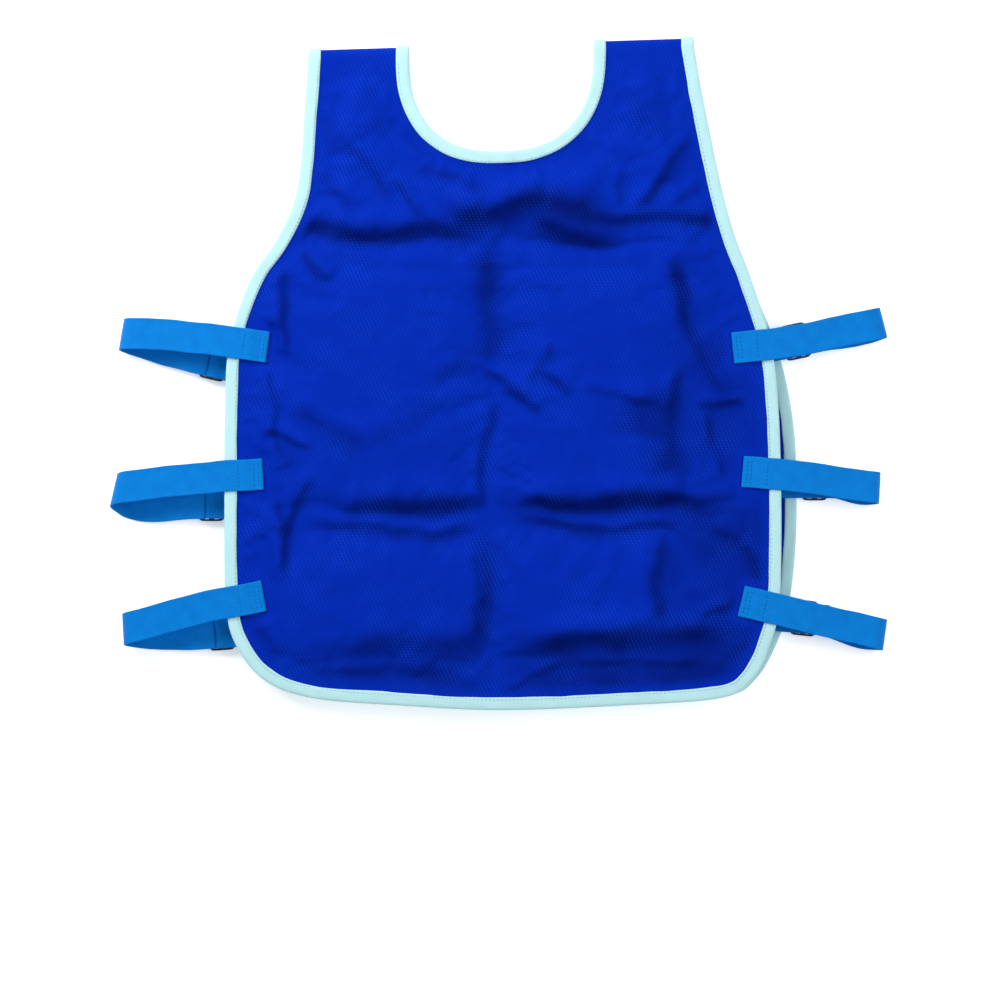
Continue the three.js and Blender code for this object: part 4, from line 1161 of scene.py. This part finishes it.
def mesh_cloth_shader(tree):
    """Warp-knitted polyester mesh, piece-dyed: matt, with staggered rows of raised loops that catch the
    light, and painted shade: a darker ground in its folds and in patches towards the right side and the hem,
    with the loops laid over it."""
    size, look = bpy.context.scene.vest_sizes, bpy.context.scene.vest_colours
    cut_map = add_node(tree, "ShaderNodeUVMap", uv_map="cut")
    parts = add_node(tree, "ShaderNodeSeparateXYZ", {"Vector": cut_map})
    x, y = parts.outputs["X"], parts.outputs["Y"]
    leaning = add_node(tree, "ShaderNodeMath", {0: y, 1: MESH_LEAN, 2: x}, operation="MULTIPLY_ADD")
    waves = []
    for place, turns in ((leaning, 2 * math.pi / size.mesh_pitch), (y, math.pi / size.mesh_row)):
        turned = add_node(tree, "ShaderNodeMath", {0: place, 1: turns}, operation="MULTIPLY")
        waves.append(add_node(tree, "ShaderNodeMath", {0: turned}, operation="SINE"))
    lattice = add_node(tree, "ShaderNodeMath", {0: waves[0], 1: waves[1]}, operation="MULTIPLY")
    loop = add_node(
        tree,
        "ShaderNodeMapRange",
        {"Value": lattice, "From Min": 0.1, "From Max": 0.9},
        interpolation_type="SMOOTHSTEP",
    )
    patches = add_node(
        tree,
        "ShaderNodeTexNoise",
        {"Vector": cut_map, "Scale": 22.0, "Detail": 5.0, "Roughness": 0.65},
        noise_dimensions="2D",
    )
    shown = {"Value": patches, "From Min": 0.42, "From Max": 0.66, "To Min": 0.04, "To Max": 0.75}
    shown = add_node(tree, "ShaderNodeMapRange", shown)
    amount = add_node(tree, "ShaderNodeMath", {0: loop, 1: shown}, operation="MULTIPLY")
    # Painted shade: the point attribute, up to 0.84, mixes the dark shade colour into the ground, where it
    # stands in for shade
    painted_shade = add_node(tree, "ShaderNodeAttribute", attribute_name="painted_shade")
    layers = add_node(tree, "ShaderNodeMapRange", {"Value": painted_shade.outputs["Fac"], "To Max": 0.84})
    ground = mixed_colour(tree, layers, look.cloth, look.cloth_painted_shade)
    bump = add_node(tree, "ShaderNodeBump", {"Height": loop, "Strength": 0.3, "Distance": 0.0004})
    crumple = {"Vector": cut_map, "Scale": 120.0, "Detail": 3.0}
    crumple = add_node(tree, "ShaderNodeTexNoise", crumple, noise_dimensions="2D")
    soft = {"Height": crumple, "Normal": bump, "Strength": 0.35, "Distance": 0.0008}
    soft = add_node(tree, "ShaderNodeBump", soft)
    finish = {"Roughness": 0.75, "IOR": 1.5, "Specular IOR Level": 0.025, "Normal": soft}
    finish["Base Color"] = mixed_colour(tree, amount, ground, look.cloth_loop)
    return add_node(tree, "ShaderNodeBsdfPrincipled", finish)


def woven_shader(tree, dye, shade, along, across, roughness, depth):
    """A woven cloth: ribs across its length and fine yarns along it, both drawn on the piece's own map with
    their spacings in millimetres."""
    cut_map = add_node(tree, "ShaderNodeUVMap", uv_map="cut")
    parts = add_node(tree, "ShaderNodeSeparateXYZ", {"Vector": cut_map})
    waves = []
    for axis, spacing in (("X", along), ("Y", across)):
        turns = {0: parts.outputs[axis], 1: 2 * math.pi / (spacing * MM)}
        turned = add_node(tree, "ShaderNodeMath", turns, operation="MULTIPLY")
        waves.append(add_node(tree, "ShaderNodeMath", {0: turned}, operation="SINE"))
    weave = add_node(tree, "ShaderNodeMath", {0: waves[0], 1: waves[1]}, operation="MULTIPLY")
    mottle = {"Vector": cut_map, "Scale": 90.0, "Detail": 4.0}
    mottle = add_node(tree, "ShaderNodeTexNoise", mottle, noise_dimensions="2D")
    amount = add_node(tree, "ShaderNodeMapRange", {"Value": weave, "From Min": -1.0, "To Max": 1.3})
    mixed = add_node(tree, "ShaderNodeMath", {0: amount, 1: mottle}, operation="MULTIPLY")
    bump = add_node(tree, "ShaderNodeBump", {"Height": weave, "Strength": 0.5, "Distance": depth})
    finish = {"Roughness": roughness, "Specular IOR Level": 0.05, "Normal": bump}
    finish["Base Color"] = mixed_colour(tree, mixed, dye, shade)
    return add_node(tree, "ShaderNodeBsdfPrincipled", finish)


def tape_shader(tree):
    """Plain-woven polyester bias tape, dyed: matt, with a fine square weave of 0.8 mm."""
    dye = bpy.context.scene.vest_colours.tape
    return woven_shader(tree, dye, darker(dye, 0.86), 0.8, 0.8, 0.75, 0.00012)


def webbing_shader(tree):
    """Woven polypropylene webbing: slightly glossy yarns in ribs of 1.6 mm across and 2.1 mm along."""
    look = bpy.context.scene.vest_colours
    return woven_shader(tree, look.webbing, look.webbing_dark, 1.6, 2.1, 0.5, 0.00025)


def spun_thread_shader(tree, dye):
    """Spun polyester sewing thread, dyed: matt, with a fine twist that breaks up its shade."""
    place = add_node(tree, "ShaderNodeTexCoord").outputs["Object"]
    twist = add_node(tree, "ShaderNodeTexNoise", {"Vector": place, "Scale": 1800.0, "Detail": 1.0})
    finish = {"Roughness": 0.7, "Specular IOR Level": 0.1}
    finish["Base Color"] = mixed_colour(tree, twist, dye, darker(dye, 0.6))
    return add_node(tree, "ShaderNodeBsdfPrincipled", finish)


def thread_shader(tree):
    """The blue thread of the straps, a shade darker than the webbing."""
    return spun_thread_shader(tree, bpy.context.scene.vest_colours.thread)


def tape_thread_shader(tree):
    """The pale thread of the tape, close to the tape's own colour."""
    return spun_thread_shader(tree, bpy.context.scene.vest_colours.tape_thread)


def acetal_shader(tree):
    """Injection-moulded acetal, black: smooth and slightly glossy, with a fine moulded grain."""
    place = add_node(tree, "ShaderNodeTexCoord").outputs["Object"]
    grain = add_node(tree, "ShaderNodeTexNoise", {"Vector": place, "Scale": 2500.0, "Detail": 2.0})
    bump = add_node(tree, "ShaderNodeBump", {"Height": grain, "Strength": 0.2, "Distance": 0.0001})
    wear = add_node(tree, "ShaderNodeTexNoise", {"Vector": place, "Scale": 300.0, "Detail": 3.0})
    gloss = {"Value": wear, "From Min": 0.3, "From Max": 0.7, "To Min": 0.32, "To Max": 0.5}
    finish = {"Roughness": add_node(tree, "ShaderNodeMapRange", gloss), "IOR": 1.48, "Normal": bump}
    finish["Base Color"] = bpy.context.scene.vest_colours.slider
    return add_node(tree, "ShaderNodeBsdfPrincipled", finish)


def light_table_shader(tree):
    """Opal acrylic light table, matt: even and pale, lit a little from below, which thins out the shadows."""
    dye = bpy.context.scene.vest_colours.floor
    finish = {"Base Color": dye, "Roughness": 0.9, "Specular IOR Level": 0.2}
    glow = {"Emission Color": dye, "Emission Strength": TABLE_GLOW}
    return add_node(tree, "ShaderNodeBsdfPrincipled", finish | glow)


class VEST_OT_panels(bpy.types.Operator):
    """Make the padded front and back panels"""

    bl_idname = "vest.panels"
    bl_label = "Panels"

    def execute(self, context):
        c = cut()
        settle(c)
        for side in ("front", "back"):
            piece = panel_piece(c, side)
            cloth = material("warp_knitted_polyester", mesh_cloth_shader)
            finish_piece(piece, cloth, [side + "_panel"])
        return {"FINISHED"}


class VEST_OT_bindings(bpy.types.Operator):
    """Fold the tape over the outer edge and the neckline"""

    bl_idname = "vest.bindings"
    bl_label = "Bindings"

    def execute(self, context):
        c = cut()
        binding_piece(c, "edge_tape", edge_line(c), "edge_binding", EDGE_JOINT, 20)
        binding_piece(c, "neck_tape", neck_line(c), "neck_binding", NECK_JOINT, 30)
        return {"FINISHED"}


class VEST_OT_straps(bpy.types.Operator):
    """Loop the side straps from the front panel through their sliders"""

    bl_idname = "vest.straps"
    bl_label = "Straps"

    def execute(self, context):
        c = cut()
        for number, row in enumerate(STRAPS):
            webbing_piece(c, "side_strap_" + row[0], strap_path(c, row), "strap_" + row[0], 40 + number)
            webbing_piece(c, "slider_tab_" + row[0], tab_path(c, row), "tab_" + row[0], 50 + number)
        return {"FINISHED"}


class VEST_OT_sliders(bpy.types.Operator):
    """Put a three-bar slider on each strap"""

    bl_idname = "vest.sliders"
    bl_label = "Sliders"

    def execute(self, context):
        c = cut()
        for row in STRAPS:
            slider_piece(c, row)
        return {"FINISHED"}


class VEST_OT_stitches(bpy.types.Operator):
    """Sew the straps' ends and the tapes with rows of thread stitches"""

    bl_idname = "vest.stitches"
    bl_label = "Stitches"

    def execute(self, context):
        c = cut()
        for number, row in enumerate(STRAPS):
            strap_stitches_piece(c, row, 60 + number)
        tape_stitches_piece(c, "edge_stitches", edge_line(c))
        tape_stitches_piece(c, "neck_stitches", neck_line(c))
        return {"FINISHED"}


class VEST_OT_stage(bpy.types.Operator):
    """Set the floor, the studio light and the camera straight above"""

    bl_idname = "vest.stage"
    bl_label = "Stage"

    def execute(self, context):
        c = cut()
        scene = context.scene
        scene.view_settings.view_transform = "Standard"
        bpy.ops.mesh.primitive_plane_add(size=12, location=(0, 0, 0))
        floor = context.object
        floor.name = "pale_floor"
        floor.data.materials.append(material("opal_acrylic_light_table", light_table_shader))
        camera = bpy.data.objects.new("camera", bpy.data.cameras.new("camera"))
        scene.collection.objects.link(camera)
        x = c.x0 + (MIDDLE_PIXEL - CUT_MIDDLE_PIXEL) * PIXEL
        y = c.y0 + (HEM_PIXEL - MIDDLE_PIXEL) * PIXEL
        camera.location = (x * MM, y * MM, CAMERA_HEIGHT * MM)
        camera.data.sensor_width = SENSOR
        camera.data.lens = SENSOR * (CAMERA_HEIGHT - c.front_middle) / (2 * MIDDLE_PIXEL * PIXEL)
        scene.camera = camera
        world = bpy.data.worlds.new("studio")
        world.use_nodes = True
        background = world.node_tree.nodes["Background"]
        background.inputs["Color"].default_value = (0.95, 0.97, 1.0, 1.0)
        background.inputs["Strength"].default_value = WORLD_LIGHT
        scene.world = world
        for name, place, size, watts in LIGHTS:
            lamp = bpy.data.lights.new(name, "AREA")
            lamp.shape = "SQUARE"
            lamp.size = size
            lamp.energy = watts
            light = bpy.data.objects.new(name, lamp)
            scene.collection.objects.link(light)
            light.location = place
            light.rotation_euler = (-Vector(place)).to_track_quat("-Z", "Y").to_euler()
        return {"FINISHED"}


class VEST_PT_sidebar(bpy.types.Panel):
    """Lists the vest's operators and sizes"""

    bl_label = "Cooling vest"
    bl_space_type = "VIEW_3D"
    bl_region_type = "UI"
    bl_category = "Vest"

    def draw(self, context):
        for operator in OPERATORS:
            self.layout.operator(operator.bl_idname)
        for group in (context.scene.vest_sizes, context.scene.vest_colours):
            for name in group.__annotations__:
                self.layout.prop(group, name)


OPERATORS = (
    VEST_OT_panels,
    VEST_OT_bindings,
    VEST_OT_straps,
    VEST_OT_sliders,
    VEST_OT_stitches,
    VEST_OT_stage,
)
CLASSES = (VestSizes, VestColours) + OPERATORS + (VEST_PT_sidebar,)


def register():
    for item in CLASSES:
        bpy.utils.register_class(item)
    bpy.types.Scene.vest_sizes = PointerProperty(type=VestSizes)
    bpy.types.Scene.vest_colours = PointerProperty(type=VestColours)


def unregister():
    del bpy.types.Scene.vest_colours
    del bpy.types.Scene.vest_sizes
    for item in reversed(CLASSES):
        bpy.utils.unregister_class(item)


def main():
    register()
    bpy.ops.vest.panels()
    bpy.ops.vest.bindings()
    bpy.ops.vest.straps()
    bpy.ops.vest.sliders()
    bpy.ops.vest.stitches()
    bpy.ops.vest.stage()


if __name__ == "__main__":
    main()
